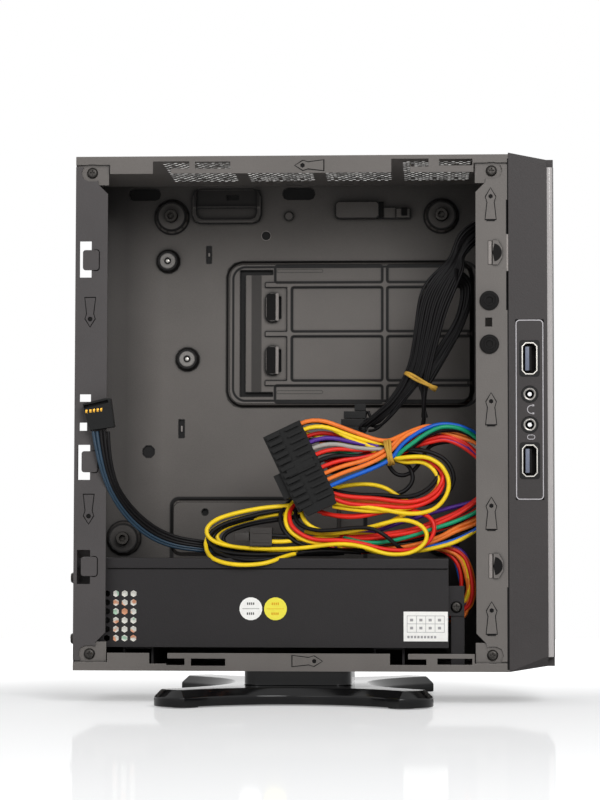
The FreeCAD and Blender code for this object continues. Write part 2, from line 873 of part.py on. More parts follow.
def rear_panel():
    plate = end_sheet(0, 1)
    windows, tabs = rear_windows()
    plate = cut_all(plate, windows)
    plate = fused([plate] + tabs)
    plate = with_arrows(plate, [(x, z, side_arrow_length, arrow_width, False) for x, z in rear_arrows])
    board_face = standoff_face - board_thickness
    y1 = board_face + connector_opening_drop
    y0 = y1 - connector_opening_height
    z0 = board_hole_bottom_z - 0.5
    cuts = [box(-1, 2, y0, y1, z0, z0 + connector_opening_length)]
    for row in range(rear_slot_count):
        z = z0 + 16.0 + row * rear_slot_pitch
        cuts.append(box(-1, 2, open_side + 9.0, y0 - 8.0, z, z + 3.0))
    return cut_all(plate, cuts + psu_opening(-1, 2) + rear_screw_holes(-1, 2) + corner_tools())


def bumper_places():
    """The two round bumpers on the front flange, as x and z."""
    x = chassis_length - bumper_from_front
    return [(x, bumper_lower_z), (x, bumper_lower_z + bumper_spacing)]


def front_frame():
    plate = end_sheet(chassis_length, -1)
    tabs = []
    slit_x = chassis_length - front_slit_inset
    tab_x = slit_x + front_slit_width
    for z0 in front_tab_starts:
        tabs.append(half_round_tab(tab_x, z0, z0 + front_tab_height, front_tab_bulge, tab_proud))
    plate = fused([plate] + tabs)
    arrow_x = chassis_length - front_arrow_inset
    arrows = [(arrow_x, z, side_arrow_length, arrow_width, False) for z in front_arrow_starts]
    plate = with_arrows(plate, arrows)
    window_x = chassis_length - front_window_inset
    cuts = [box(window_x, window_x + front_window_width, open_side - 1, flange_back,
                front_window_z, front_window_z + front_window_height)]
    for z0 in front_tab_starts:
        cuts.append(box(slit_x, tab_x, open_side - 1, flange_back, z0, z0 + front_tab_height))
    for x, z in bumper_places():
        cuts.append(rod("y", x, z, bumper_stem_radius + 2 * touch_gap, open_side - 1, flange_back + 1))
    x0 = chassis_length - 2
    x1 = chassis_length + 1
    ports_low = port_plate_bottom + 4.0
    cuts.append(box(x0, x1, open_side + 6.0, open_side + 34.0, ports_low,
                    ports_low + port_plate_height - 8.0))
    cuts.append(box(x0, x1, -16.0, 16.0, power_button_z - 34.0, power_button_z + 12.0))
    return cut_all(plate, cuts + corner_tools())


# Small fasteners of the chassis

def pan_screw(head_radius, head_height, shank_radius, shank_length):
    """A pan head screw along +y, its seat at y 0, kept many-sided."""
    rim = -0.45 * head_height
    head = facet_body(ring_points("y", 0, 0, head_radius * 0.72, -head_height, screw_sides),
                      ring_points("y", 0, 0, head_radius, rim, screw_sides))
    collar = rod("y", 0, 0, head_radius, rim, 0, screw_sides)
    shank = rod("y", 0, 0, shank_radius, 0, shank_length, 6)
    return fused([head, collar, shank])


def corner_screws():
    screws = []
    for x, z in corner_screw_places():
        screw = pan_screw(2.5, 1.5, corner_screw_radius, 4.0)
        screw.translate(Vector(x, flange_back, z))
        screws.append(screw)
    return Part.makeCompound(screws)


def flange_bumpers():
    """Rubber buttons with a dimple in the middle, on the front flange."""
    bumpers = []
    face = open_side - bumper_thickness
    for x, z in bumper_places():
        pad = rod("y", x, z, bumper_radius, face + 0.5, open_side, bumper_sides)
        crown = facet_body(ring_points("y", x, z, bumper_radius - 0.7, face, bumper_sides),
                           ring_points("y", x, z, bumper_radius, face + 0.5, bumper_sides))
        stem = rod("y", x, z, bumper_stem_radius, open_side, flange_back + bumper_thickness)
        dimple = rod("y", x, z, 1.5, face - 1, open_side - 0.9)
        bumpers.append(fused([pad, crown, stem]).cut(dimple))
    return Part.makeCompound(bumpers)


def board_standoffs():
    posts = []
    for x, z in board_holes():
        post = rod("y", x, z, standoff_radius, standoff_face, standoff_face + standoff_height, post_sides)
        posts.append(post.cut(disc_y(x, z, standoff_bore, standoff_face - 1, wall_face)))
    return Part.makeCompound(posts)


def threaded_inserts():
    posts = []
    face = wall_face - seat_rise
    for x, z in insert_places():
        post = rod("y", x, z, insert_radius, face - insert_height, face, post_sides)
        posts.append(post.cut(disc_y(x, z, insert_bore, face - insert_height - 1, face + 1)))
    return Part.makeCompound(posts)


# Front bezel

def bezel_section(x, shrink, chamfer_y, chamfer_z, drop):
    """An eight-sided section of the bezel at x, smaller by shrink all round."""
    y0 = open_side + shrink
    y1 = closed_side - shrink
    z0 = drop + shrink
    z1 = chassis_height + bezel_rise - drop - shrink
    points = [
        (y0 + chamfer_y, z0), (y1 - chamfer_y, z0), (y1, z0 + chamfer_z), (y1, z1 - chamfer_z),
        (y1 - chamfer_y, z1), (y0 + chamfer_y, z1), (y0, z1 - chamfer_z), (y0, z0 + chamfer_z),
    ]
    return [Vector(x, y, z) for y, z in points]


def bezel_block(x0, x1, shrink):
    """The tapered block between two sections; its corner facets widen to the front."""
    start = 0.05
    return facet_body(
        bezel_section(x0, shrink, bezel_side_chamfer * start, bezel_corner_chamfer * start, 0),
        bezel_section(x1, shrink, bezel_side_chamfer, bezel_corner_chamfer, bezel_taper))


def fascia_span():
    """The lower and upper ends of the fascia."""
    z0 = bezel_taper + fascia_margin
    return z0, chassis_height + bezel_rise - z0


def front_bezel():
    outer = bezel_block(chassis_length, fascia_start, 0)
    inner = bezel_block(chassis_length - 0.01, fascia_start - bezel_wall, bezel_wall)
    shell = outer.cut(inner)
    z0, z1 = fascia_span()
    caps = []
    top = chassis_height + bezel_rise - bezel_taper
    half = closed_side - bezel_side_chamfer
    for low, high in ((bezel_taper, z0), (z1, top)):
        caps.append(box(fascia_start, front_face, -half, half, low, high))
    posts = []
    for y, z in switch_post_places():
        posts.append(box(switch_board_x() + board_sheet, fascia_start - bezel_wall + 0.2,
                         y - 2, y + 2, z - 2, z + 2))
    shell = fused([shell] + caps + posts)
    cuts = front_face_holes(fascia_start - bezel_wall - 1, front_face)
    cuts.append(box(port_plate_x - touch_gap, port_plate_x + port_plate_width + touch_gap,
                    open_side - 1, open_side + bezel_wall + 1,
                    port_plate_bottom - touch_gap, port_plate_bottom + port_plate_height + touch_gap))
    return cut_all(shell, cuts)


def front_face_holes(x0, x1):
    """The holes for the two buttons and the two lenses."""
    return [
        rod("x", 0, power_button_z, power_button_radius + button_clearance, x0, x1, power_sides),
        rod("x", 0, reset_button_z, reset_button_radius + button_clearance, x0, x1, reset_sides),
    ] + [rod("x", y, z, lens_radius + touch_gap, x0, x1, lens_sides) for y, z in lens_places()]


def lens_places():
    return [(-lens_spacing, lens_z), (lens_spacing, lens_z)]


def front_fascia():
    z0, z1 = fascia_span()
    half = closed_side - 0.8
    plate = box(fascia_start, front_face, -half, half, z0, z1)
    upright = [e for e in plate.Edges
               if abs(e.tangentAt(e.FirstParameter).z) > 0.9 and e.CenterOfMass.x > front_face - 0.1]
    plate = plate.makeFillet(fascia_corner, upright)
    return cut_all(plate, front_face_holes(fascia_start - 1, front_face + 1))


def switch_board_x():
    return chassis_length + 3.0


def switch_post_places():
    return [(-11.0, power_button_z - 8.0), (11.0, power_button_z - 8.0)]


def switch_face():
    """Where the switches' plungers end."""
    return switch_board_x() + board_sheet + 4.0


def push_button(z, radius, stem, travel, sides):
    """A button cap with its square stem, which stops short of its switch by its travel and a hair."""
    cap_start = fascia_start - 4.0
    front = front_face + button_proud
    cap = rod("x", 0, z, radius, cap_start, front - button_edge, sides)
    crown = facet_body(ring_points("x", 0, z, radius, front - button_edge, sides),
                       ring_points("x", 0, z, radius - button_edge, front, sides))
    stem = box(switch_face() + travel + slide_fit, cap_start, -stem, stem, z - stem, z + stem)
    return fused([cap, crown, stem])


def power_button():
    return push_button(power_button_z, power_button_radius, 2.0, power_button_travel, power_sides)


def reset_button():
    return push_button(reset_button_z, reset_button_radius, 1.2, reset_button_travel, reset_sides)


def status_lenses():
    lenses = []
    for y, z in lens_places():
        lens = rod("x", y, z, lens_radius, switch_board_x() + board_sheet, front_face + 0.3, lens_sides)
        lenses.append(lens)
    return Part.makeCompound(lenses)


def switch_board():
    x0 = switch_board_x()
    face = x0 + board_sheet
    board = box(x0, face, -14.0, 14.0, lens_z - 5.0, power_button_z + 8.0)
    parts = [board]
    for z in (power_button_z, reset_button_z):
        parts.append(box(face, face + 3.0, -3.0, 3.0, z - 3.0, z + 3.0))
        parts.append(box(face + 3.0, switch_face(), -1.2, 1.2, z - 1.2, z + 1.2))
    return fused(parts)


# Port plate and ports

def port_plate():
    plate = soft_xz(port_plate_x, port_plate_x + port_plate_width, port_plate_bottom,
                    port_plate_bottom + port_plate_height, open_side,
                    open_side + port_plate_thickness, 1.8)
    posts = []
    for z in port_post_places():
        posts.append(box(port_x - 2, port_x + 2, open_side + port_plate_thickness, port_board_face,
                         z - 2, z + 2))
    plate = fused([plate] + posts)
    cuts = []
    for z in (usb_upper_z, usb_lower_z):
        cuts.append(box(port_x - usb_width / 2 - touch_gap, port_x + usb_width / 2 + touch_gap,
                        open_side - 1, open_side + port_plate_thickness + 1,
                        z - usb_length / 2 - touch_gap, z + usb_length / 2 + touch_gap))
    for z in (headphone_z, microphone_z):
        cuts.append(rod("y", port_x, z, jack_radius + touch_gap, open_side - 1,
                        open_side + port_plate_thickness + 1, jack_sides))
    return cut_all(plate, cuts)


def port_post_places():
    inset = port_end_margin / 2
    return [port_plate_bottom + inset, port_plate_bottom + port_plate_height - inset]


def usb_port(z):
    """A metal shell with its contact tongue, set back to the port board."""
    x0 = port_x - usb_width / 2
    x1 = port_x + usb_width / 2
    z0 = z - usb_length / 2
    z1 = z + usb_length / 2
    shell = box(x0, x1, open_side - 0.3, port_board_face, z0, z1)
    hollow = box(x0 + usb_wall, x1 - usb_wall, open_side - 1, port_board_face - 4.0,
                 z0 + usb_wall, z1 - usb_wall)
    tongue = box(x0 + usb_wall + 0.6, x0 + usb_wall + 0.6 + usb_tongue, open_side + 1.2,
                 port_board_face - 4.0, z0 + 1.8, z1 - 1.8)
    return fused([shell.cut(hollow), tongue])


def audio_jack(z):
    half = jack_body / 2
    face = open_side + port_plate_thickness
    barrel = rod("y", port_x, z, jack_radius, open_side - 0.4, face + 0.2, jack_sides)
    body = box(port_x - half, port_x + half, face + touch_gap, port_board_face, z - half, z + half)
    bore = disc_y(port_x, z, jack_bore, open_side - 1, port_board_face - 2.0)
    return fused([barrel, body]).cut(bore)


def port_board():
    half = port_plate_width / 2 - 0.8
    return box(port_x - half, port_x + half, port_board_face, port_board_face + board_sheet,
               port_plate_bottom + 1.5, port_plate_bottom + port_plate_height - 1.5)


# Power supply

def psu_hole_grid():
    """The round vent holes in the supply's near wall, kept many-sided."""
    holes = []
    x_first = psu_rear + 5.4 + 2 * psu_hole_pitch
    z_first = psu_bottom + 4.0
    for column in range(psu_hole_columns):
        for row in range(psu_hole_rows):
            x = x_first + column * psu_hole_pitch
            z = z_first + row * psu_hole_pitch
            holes.append(rod("y", x, z, psu_hole_radius, psu_near - 1, psu_near + psu_wall + 1,
                             psu_hole_sides))
    return holes


def grommet_center():
    return psu_near + 17.0, psu_bottom + 17.0


def psu_case():
    outer = box(psu_rear, psu_front, psu_near, psu_far, psu_bottom, psu_top - psu_wall)
    inner = box(psu_rear + psu_wall, psu_front - psu_wall, psu_near + psu_wall, psu_far - psu_wall,
                psu_bottom + psu_wall, psu_top)
    shell = outer.cut(inner)
    posts = []
    for x, y in psu_post_places():
        posts.append(rod("z", x, y, 2.4, psu_bottom + psu_wall, psu_board_z(), 6))
    shell = fused([shell] + posts)
    y, z = grommet_center()
    cuts = psu_hole_grid() + psu_rear_cuts(psu_rear - 1, psu_rear + psu_wall + 1)
    cuts.append(box(psu_front - 2, psu_front + 1, y - 7.0, y + 7.0, z - 7.0, z + 7.0))
    return cut_all(shell, cuts)


def psu_post_places():
    x0 = psu_rear + 46.0
    x1 = psu_front - 12.0
    return [(x0, psu_near + 8), (x1, psu_near + 8), (x0, psu_far - 8), (x1, psu_far - 8)]


def psu_board_z():
    return psu_bottom + psu_wall + 4.0


def psu_cover():
    top = box(psu_rear, psu_front, psu_near, psu_far, psu_top - psu_wall, psu_top)
    near = box(psu_rear, psu_front, psu_near - psu_wall, psu_near, psu_top - psu_lip, psu_top)
    far = box(psu_rear, psu_front, psu_far, psu_far + psu_wall, psu_top - psu_lip, psu_top)
    cover = fused([top, near, far])
    folds = [e for e in cover.Edges
             if abs(e.tangentAt(e.FirstParameter).x) > 0.9
             and e.CenterOfMass.z > psu_top - 0.01
             and (e.CenterOfMass.y < psu_near - 0.1 or e.CenterOfMass.y > psu_far + 0.1)]
    return cover.makeFillet(psu_wall * 0.7, folds)


def psu_board():
    return box(psu_rear + 40.0, psu_front - 6.0, psu_near + 3.0, psu_far - 3.0,
               psu_board_z(), psu_board_z() + board_sheet)


def psu_transformer():
    """A ferrite core round a wide coil, standing on the board."""
    z0 = psu_board_z() + board_sheet
    x0 = psu_front - transformer_from_front - transformer_length
    x1 = x0 + transformer_length
    half = transformer_width / 2
    core = box(x0, x1, -half, half, z0, z0 + transformer_height)
    coil = box(x0 + coil_inset, x1 - coil_inset, -half - coil_proud, half + coil_proud,
               z0 + coil_inset, z0 + transformer_height - coil_inset)
    return fused([core, coil])


def psu_capacitors():
    """Two large cans before the fan and two small ones at the far end."""
    z0 = psu_board_z() + board_sheet
    big_x = psu_rear + capacitor_from_rear
    small_x = psu_front - capacitor_from_front
    cans = []
    for x, y, radius, height in (
            (big_x, -16.0, large_can_radius, large_can_height),
            (big_x, 10.0, large_can_radius, large_can_height),
            (small_x, -22.0, small_can_radius, small_can_height),
            (small_x, -8.0, small_can_radius, small_can_height)):
        cans.append(rod("z", x, y, radius, z0, z0 + height, 12))
    return Part.makeCompound(cans)


def psu_heat_sink():
    """An upright web with level fins."""
    z0 = psu_board_z() + board_sheet
    x0 = psu_front - heat_sink_from_front
    web = box(x0, x0 + heat_sink_web, -20.0, 26.0, z0, z0 + heat_sink_height)
    fins = [web]
    for count in range(heat_sink_fins):
        z = z0 + 3.0 + count * heat_sink_pitch
        fins.append(box(x0 + heat_sink_web, x0 + heat_sink_web + heat_sink_fin_reach, -20.0, 26.0,
                        z, z + heat_sink_fin))
    return fused(fins)


def fan_start():
    return psu_rear + psu_wall


def psu_fan_frame():
    y, z = fan_center()
    x0 = fan_start()
    half = fan_size / 2
    back = x0 + fan_thickness
    frame = box(x0, back, y - half, y + half, z - half, z + half)
    frame = frame.cut(rod("x", y, z, half - fan_wall, x0 - 1, back + 1, fan_sides))
    parts = [frame, rod("x", y, z, fan_hub_radius, back - 2.0, back, 16)]
    for turn in (45, 135, 225, 315):
        strut = box(back - 2.0, back, y - 1.2, y + 1.2, z + fan_hub_radius - 1.0, z + half - 0.6)
        strut.rotate(Vector(0, y, z), Vector(1, 0, 0), turn)
        parts.append(strut)
    parts.append(disc_x(y, z, fan_pin_radius, x0 + 3.0, back))
    return fused(parts)


def psu_fan_rotor():
    y, z = fan_center()
    x0 = fan_start() + 1.5
    x1 = fan_start() + fan_thickness - 2.0 - slide_fit
    hub = rod("x", y, z, fan_hub_radius, x0, x1, fan_sides)
    blades = []
    tip = fan_size / 2 - fan_wall - fan_tip_gap
    for count in range(fan_blades):
        blade = box(-5.2, 5.2, -0.6, 0.6, fan_hub_radius - 1.5, tip)
        blade.rotate(Vector(0, 0, 0), Vector(0, 0, 1), 38)
        blade.translate(Vector((x0 + x1) / 2, y, z))
        blade.rotate(Vector(0, y, z), Vector(1, 0, 0), 360.0 * count / fan_blades)
        blades.append(blade)
    whole = fused([hub] + blades)
    return whole.cut(disc_x(y, z, fan_pin_radius + fan_running_gap, x0 + 1.2, x1 + 1))


def power_inlet():
    """The mains socket: a chamfered hollow with three blades, in a flanged body."""
    y, z = inlet_center()
    half_y = inlet_width / 2
    half_z = inlet_height / 2
    lip = 1.6
    flange = box(-inlet_flange, 0, y - half_y - lip, y + half_y + lip, z - half_z - lip, z + half_z + lip)
    body = box(0, inlet_depth, y - half_y, y + half_y, z - half_z, z + half_z)
    whole = fused([flange, body])
    near = half_y - inlet_wall
    low = half_z - inlet_wall
    cut = inlet_chamfer
    outline = [(-near, -low), (near, -low), (near, low - cut), (near - cut, low),
               (-near + cut, low), (-near, low - cut)]
    corners = [Vector(-inlet_flange - 1, y + u, z + v) for u, v in outline]
    hollow = Part.Face(Part.makePolygon(corners + corners[:1]))
    whole = whole.cut(hollow.extrude(Vector(inlet_flange + 1 + inlet_depth - inlet_wall, 0, 0)))
    pins = []
    for pin_y, pin_z in ((-7.0, -2.2), (7.0, -2.2), (0.0, 2.2)):
        pins.append(box(3.2, inlet_depth, y + pin_y - 1.0, y + pin_y + 1.0, z + pin_z - 2.0, z + pin_z + 2.0))
    return fused([whole] + pins)


def psu_fixing_screws():
    screws = []
    for y, z in rear_screw_places():
        screw = pan_screw(rear_screw_radius, rear_screw_head, rear_screw_shank, 5.0)
        screw.rotate(Vector(0, 0, 0), Vector(0, 0, 1), -90)
        screw.translate(Vector(0, y, z))
        screws.append(screw)
    return Part.makeCompound(screws)


def bracket_screw_x():
    return psu_front + 3.6


def bracket_screw_z():
    return psu_bottom + 18.5


def psu_end_bracket():
    near = psu_near + bracket_setback
    far = near + sheet
    face = box(psu_front, psu_front + 7.2, near, far, psu_bottom + 14.4, psu_bottom + 28.0)
    leg = box(psu_front, psu_front + sheet, near, near + 5.0, psu_bottom + 14.4, psu_bottom + 28.0)
    hole = rod("y", bracket_screw_x(), bracket_screw_z(), bracket_screw_radius + 2 * screw_slack,
               near - 1, far + 1, 6)
    return fused([face, leg]).cut(hole)


def psu_bracket_screw():
    screw = pan_screw(2.6, 1.6, bracket_screw_radius, 4.0)
    screw.translate(Vector(bracket_screw_x(), psu_near + bracket_setback, bracket_screw_z()))
    return screw


def psu_rails():
    """Two channels that carry the supply above the floor sheet."""
    rails = []
    for x in (psu_rear + 20.0, psu_front - 34.0):
        top = box(x, x + 14.0, psu_near + 8.0, psu_far - 8.0, psu_bottom - sheet, psu_bottom)
        legs = [box(x, x + sheet, psu_near + 8.0, psu_far - 8.0, sheet, psu_bottom - sheet),
                box(x + 13.0, x + 14.0, psu_near + 8.0, psu_far - 8.0, sheet, psu_bottom - sheet)]
        rails.append(fused([top] + legs))
    return Part.makeCompound(rails)


def sticker(x, z):
    return rod("y", x, z, sticker_radius, psu_near - sticker_thickness, psu_near, sticker_sides)


def sticker_white():
    return sticker(psu_rear + 79.2, psu_bottom + 17.5)


def sticker_yellow():
    return sticker(psu_rear + 90.4, psu_bottom + 17.5)


def rating_label():
    x1 = psu_front - 0.3
    z0 = psu_bottom + 3.0
    return box(x1 - label_length, x1, psu_near - sticker_thickness, psu_near, z0, z0 + label_height)


# Stand

def stand_outline(z):
    """Four feet joined by hollow arcs, closed, at height z, its arcs laid out in short edges."""
    hx = stand_half_length
    hy = stand_half_width
    tip_x = hx - stand_tip_inset_x
    tip_y = hy - stand_tip_inset_y
    shoulder_x = hx - stand_shoulder_inset_x
    shoulder_y = hy - stand_shoulder_inset_y
    quarter = [
        ((-tip_x, -hy), (0, -stand_waist_y), (tip_x, -hy), waist_edges),
        ((tip_x, -hy), (shoulder_x, -shoulder_y), (hx, -tip_y), tip_edges),
        ((hx, -tip_y), (stand_waist_x, 0), (hx, tip_y), waist_edges),
        ((hx, tip_y), (shoulder_x, shoulder_y), (tip_x, hy), tip_edges),
    ]
    half_turn = [tuple((-x, -y) for x, y in arc[:3]) + arc[3:] for arc in quarter]
    points = []
    for first, middle, last, edges in quarter + half_turn:
        arc = Part.Arc(*[Vector(stand_center_x + x, y, z) for x, y in (first, middle, last)])
        points += arc.toShape().discretize(Number=edges + 1)[:-1]
    return points


def foot_pad_places():
    return [(stand_center_x + sx * foot_pad_x, sy * foot_pad_y) for sx in (-1, 1) for sy in (-1, 1)]


def stand():
    base_z = -stand_height + foot_pad_proud
    outline = stand_outline(base_z)
    plate = Part.Face(Part.makePolygon(outline + outline[:1])).extrude(Vector(0, 0, stand_arm_height))
    top_z = base_z + stand_arm_height
    rim = [e for e in plate.Edges if e.BoundBox.ZMin > top_z - 0.01]
    plate = plate.makeChamfer(stand_arm_height - stand_edge_height, rim)
    x = stand_center_x
    half_x = pedestal_length / 2
    half_y = pedestal_width / 2
    foot = soft_outline(x - half_x, x + half_x, -half_y, half_y, pedestal_corner, 4)
    corners = [Vector(u, v, top_z - 1.0) for u, v in foot]
    pedestal = Part.Face(Part.makePolygon(corners + corners[:1])).extrude(Vector(0, 0, 1.0 - top_z))
    whole = fused([plate, pedestal])
    return cut_all(whole, [rod("z", screw_x, screw_y, stand_screw_radius + touch_gap, -9.0, 1, 6)
                           for screw_x, screw_y in stand_screw_places()])


def foot_pads():
    """Thin rubber pads stuck under the four feet."""
    return Part.makeCompound([rod("z", x, y, foot_pad_radius, -stand_height,
                                  -stand_height + foot_pad_proud, pad_sides)
                              for x, y in foot_pad_places()])


def stand_screws():
    screws = []
    for x, y in stand_screw_places():
        screw = pan_screw(3.6, 2.2, stand_screw_radius, 8.0)
        screw.rotate(Vector(0, 0, 0), Vector(1, 0, 0), -90)
        screw.translate(Vector(x, y, sheet))
        screws.append(screw)
    return Part.makeCompound(screws)


# Leads and plugs

def main_plug_point(along, across):
    """A place on the leaning plug: along its length from its low end, across from its mating face."""
    turn = math.radians(main_plug_angle)
    foot_x, foot_z = main_plug_foot
    x = foot_x - along * math.cos(turn) + across * math.sin(turn)
    z = foot_z + along * math.sin(turn) + across * math.cos(turn)
    return x, z


def main_plug():
    """The 24 way plug, leaning, with two rows of cells in its mating face."""
    block = box(0, main_plug_length, 0, main_plug_thickness, -main_plug_reach, 0)
    cells = []
    pitch = main_plug_length / main_plug_columns
    half = plug_cell / 2
    for column in range(main_plug_columns):
        for row in main_plug_rows:
            x = pitch * (column + 0.5)
            y = main_plug_thickness * row
            cells.append(box(x - half, x + half, y - half, y + half, -cell_depth, 1))
    latch = box(main_plug_length * 0.42, main_plug_length * 0.58, -1.6, 0, -main_plug_reach + 2, -3.0)
    whole = fused([block.cut(cells), latch])
    whole.rotate(Vector(0, 0, 0), Vector(0, 1, 0), -180 + main_plug_angle)
    x, z = main_plug_point(0, 0)
    whole.translate(Vector(x, bundle_near - 0.5, z))
    return whole


def cpu_plug():
    x0, x1 = cpu_plug_span
    z0 = psu_top + cpu_plug_lift
    body = box(x0, x1, bundle_near, bundle_near + cpu_plug_width, z0, z0 + cpu_plug_height)
    latch = box(x0 - cpu_latch_length, x0, bundle_near + 1.5, bundle_near + cpu_plug_width - 1.5,
                z0 + 2.4, z0 + 6.4)
    cells = [box(x0 - 0.4, x0 + cell_depth - 0.4, bundle_near + 1.2 + 3.8 * row,
                 bundle_near + 4.0 + 3.8 * row, z0 + 1.0 + 3.4 * level, z0 + 3.6 + 3.4 * level)
             for row in range(2) for level in range(2)]
    return fused([body, latch]).cut(cells)


def drive_plug():
    """The flat drive connector that hangs over the rear flange."""
    far = open_side - 1.0
    near = far - drive_plug_thickness
    body = extruded_xz(drive_plug_outline, near, far)
    return body.cut(extruded_xz(drive_plug_slot, near - 1, near + 3.0))


def main_harness():
    """Wires from the main plug, gathered by a band and running on to the front."""
    wires = main_plug_reach + slide_fit
    points = [main_plug_point(main_plug_length - 1.0, wires), main_plug_point(1.0, wires),
              (neck_left, neck_low), (neck_right, neck_low)]
    points += harness_far_outline
    points += [(neck_right, neck_high), (neck_left, neck_high)]
    return extruded_xz(points, bundle_near + harness_margin, bundle_far - harness_margin)


def harness_band():
    """The rubber band round the neck of the main harness."""
    middle = (neck_left + neck_right) / 2
    y0 = bundle_near + harness_margin - slide_fit
    y1 = bundle_far - harness_margin + slide_fit
    z0 = neck_low - slide_fit
    z1 = neck_high + slide_fit
    t = band_thickness
    outer = box(middle - band_width / 2, middle + band_width / 2, y0 - t, y1 + t, z0 - t, z1 + t)
    return outer.cut(box(middle - band_width, middle + band_width, y0, y1, z0, z1))


def cable_loop():
    """The loop of supply wires that hangs under the harness."""
    return extruded_xz(cable_loop_outline, bundle_near, bundle_far)


def left_loops():
    """The loops of wire that lie behind the small plug, on the supply's cover."""
    near = bundle_near + cpu_plug_width + slide_fit
    return extruded_xz(left_loops_outline, near, near + left_loops_thickness)


def psu_riser():
    """Wires from the supply's end up to the loop."""
    y, z = grommet_center()
    start = psu_front + slide_fit
    points = [(start, z - riser_half)] + list(riser_outline) + [(start, z + riser_half)]
    return extruded_xz(points, y - riser_half, y + riser_half)


def front_hank_slab():
    """The folded flat hank of front panel leads."""
    near = open_side + hank_inset
    return extruded_xz(hank_outline, near, near + hank_thickness)


def hank_band():
    """The rubber band across the front panel leads."""
    near = open_side + hank_inset - slide_fit
    far = open_side + hank_inset + hank_thickness + slide_fit
    t = band_thickness
    reach = band_half_reach
    outer = box(-reach - t, reach + t, near - t, far + t, -band_width / 2, band_width / 2)
    band = outer.cut(box(-reach, reach, near, far, -band_width, band_width))
    band.rotate(Vector(0, 0, 0), Vector(0, 1, 0), hank_band_turn)
    x, z = hank_band_place
    band.translate(Vector(x, 0, z))
    return band


def routed_tube(points, diameter, name):
    """A tube of straight runs joined by tangent arcs, its round section kept many-sided."""
    nodes = [Vector(*p) for p in points]
    way = (nodes[1] - nodes[0]).normalize()
    side = way.cross(Vector(0, 0, 1) if abs(way.z) < 0.9 else Vector(1, 0, 0)).normalize()
    up = way.cross(side)
    corners = []
    for step in range(tube_sides):
        turn = 2 * math.pi * step / tube_sides
        spoke = side * math.cos(turn) + up * math.sin(turn)
        corners.append(nodes[0] + spoke * (diameter / 2))
    end = Part.Face(Part.makePolygon(corners + corners[:1]))
    section = end.Area
    pieces = []
    start = nodes[0]
    length = 0.0
    for index in range(1, len(nodes) - 1):
        before = nodes[index] - nodes[index - 1]
        after = nodes[index + 1] - nodes[index]
        turn = before.getAngle(after)
        reach = 0.45 * min(before.Length, after.Length)
        radius = reach / math.tan(turn / 2)
        way_in = Vector(before).normalize()
        way_out = Vector(after).normalize()
        arc_in = nodes[index] - way_in * reach
        axis = way_in.cross(way_out).normalize()
        center = arc_in + axis.cross(way_in) * radius
        pieces.append(end.extrude(arc_in - start))
        end.translate(arc_in - start)
        pieces.append(end.revolve(center, axis, math.degrees(turn)))
        end.rotate(center, axis, math.degrees(turn))
        length += (arc_in - start).Length + radius * turn
        start = nodes[index] + way_out * reach
        print(name, "point", index, "radius", round(radius, 1), "diameters", round(radius / diameter, 1))
    pieces.append(end.extrude(nodes[-1] - start))
    length += (nodes[-1] - start).Length
    tube = fused(pieces)
    print(name, "length", round(length, 1), "volume share", round(tube.Volume / (section * length), 4))
    return tube


drive_lead_route = [
    (12.6, open_side - 4.0, 108.0),
    (14.6, open_side - 5.2, 89.0),
    (23.8, open_side + 8.5, 70.8),
    (38.5, open_side + 19.5, 58.8),
    (59.5, open_side + 23.8, 55.6),
]

cpu_lead_route = [
    (89.9, bundle_near + 4.5, psu_top + 9.6),
    (99.3, bundle_near + 4.9, psu_top + 10.5),
]

front_lead_route = [
    (switch_board_x(), open_side + 34.0, power_button_z),
    (190.0, open_side + 34.0, power_button_z),
    (179.0, open_side + 30.5, 200.5),
    (174.0, open_side + 28.0, 188.9),
]

front_tail_route = [
    (154.9, open_side + 28.2, 125.9),
    (145.5, open_side + 33.0, 117.2),
    (132.4, open_side + header_inset, 114.0),
]


def drive_lead():
    return routed_tube(drive_lead_route, drive_lead_diameter, "drive_lead")


def cpu_lead():
    return routed_tube(cpu_lead_route, cpu_lead_diameter, "cpu_lead")


def front_lead():
    return routed_tube(front_lead_route, front_lead_diameter, "front_lead")


def front_tail():
    return routed_tube(front_tail_route, front_lead_diameter, "front_tail")


def header_plugs():
    """The small plugs at the ends of the front panel leads."""
    y0 = open_side + header_inset - 2.4
    y1 = open_side + header_inset + 2.6
    plugs = []
    for step in range(header_count):
        z = header_low + step * header_pitch
        plugs.append(box(header_left + step * 1.2, header_right, y0, y1, z, z + header_height))
    z = header_low + header_count * header_pitch
    plugs.append(box(header_right - 5.2, header_right, y0, y1, z, z + header_height - 0.1))
    return Part.makeCompound(plugs)


def main():
    os.makedirs("parts", exist_ok=True)
    makers = [
        side_wall, outer_cover, top_panel, bottom_panel, rear_panel, front_frame, corner_screws,
        flange_bumpers,
        board_standoffs, threaded_inserts, front_bezel, front_fascia, power_button, reset_button,
        status_lenses, switch_board, port_plate, port_board, psu_case, psu_cover, psu_board,
        psu_transformer, psu_capacitors, psu_heat_sink, psu_fan_frame, psu_fan_rotor, power_inlet,
        psu_fixing_screws, psu_end_bracket, psu_bracket_screw, psu_rails, sticker_white,
        sticker_yellow, rating_label, stand, foot_pads, stand_screws, main_plug, cpu_plug,
        drive_plug, main_harness, harness_band, cable_loop, left_loops, psu_riser,
        front_hank_slab, hank_band, drive_lead, cpu_lead, front_lead, front_tail, header_plugs,
    ]
    shapes = {maker.__name__: maker() for maker in makers}
    shapes["usb_port_upper"] = usb_port(usb_upper_z)
    shapes["usb_port_lower"] = usb_port(usb_lower_z)
    shapes["headphone_jack"] = audio_jack(headphone_z)
    shapes["microphone_jack"] = audio_jack(microphone_z)
    for name, shape in shapes.items():
        placed = shape.copy()
        placed.translate(Vector(-middle_x, 0, stand_height))
        placed.exportStep("parts/" + name + ".step")


main()
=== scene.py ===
import math
import random

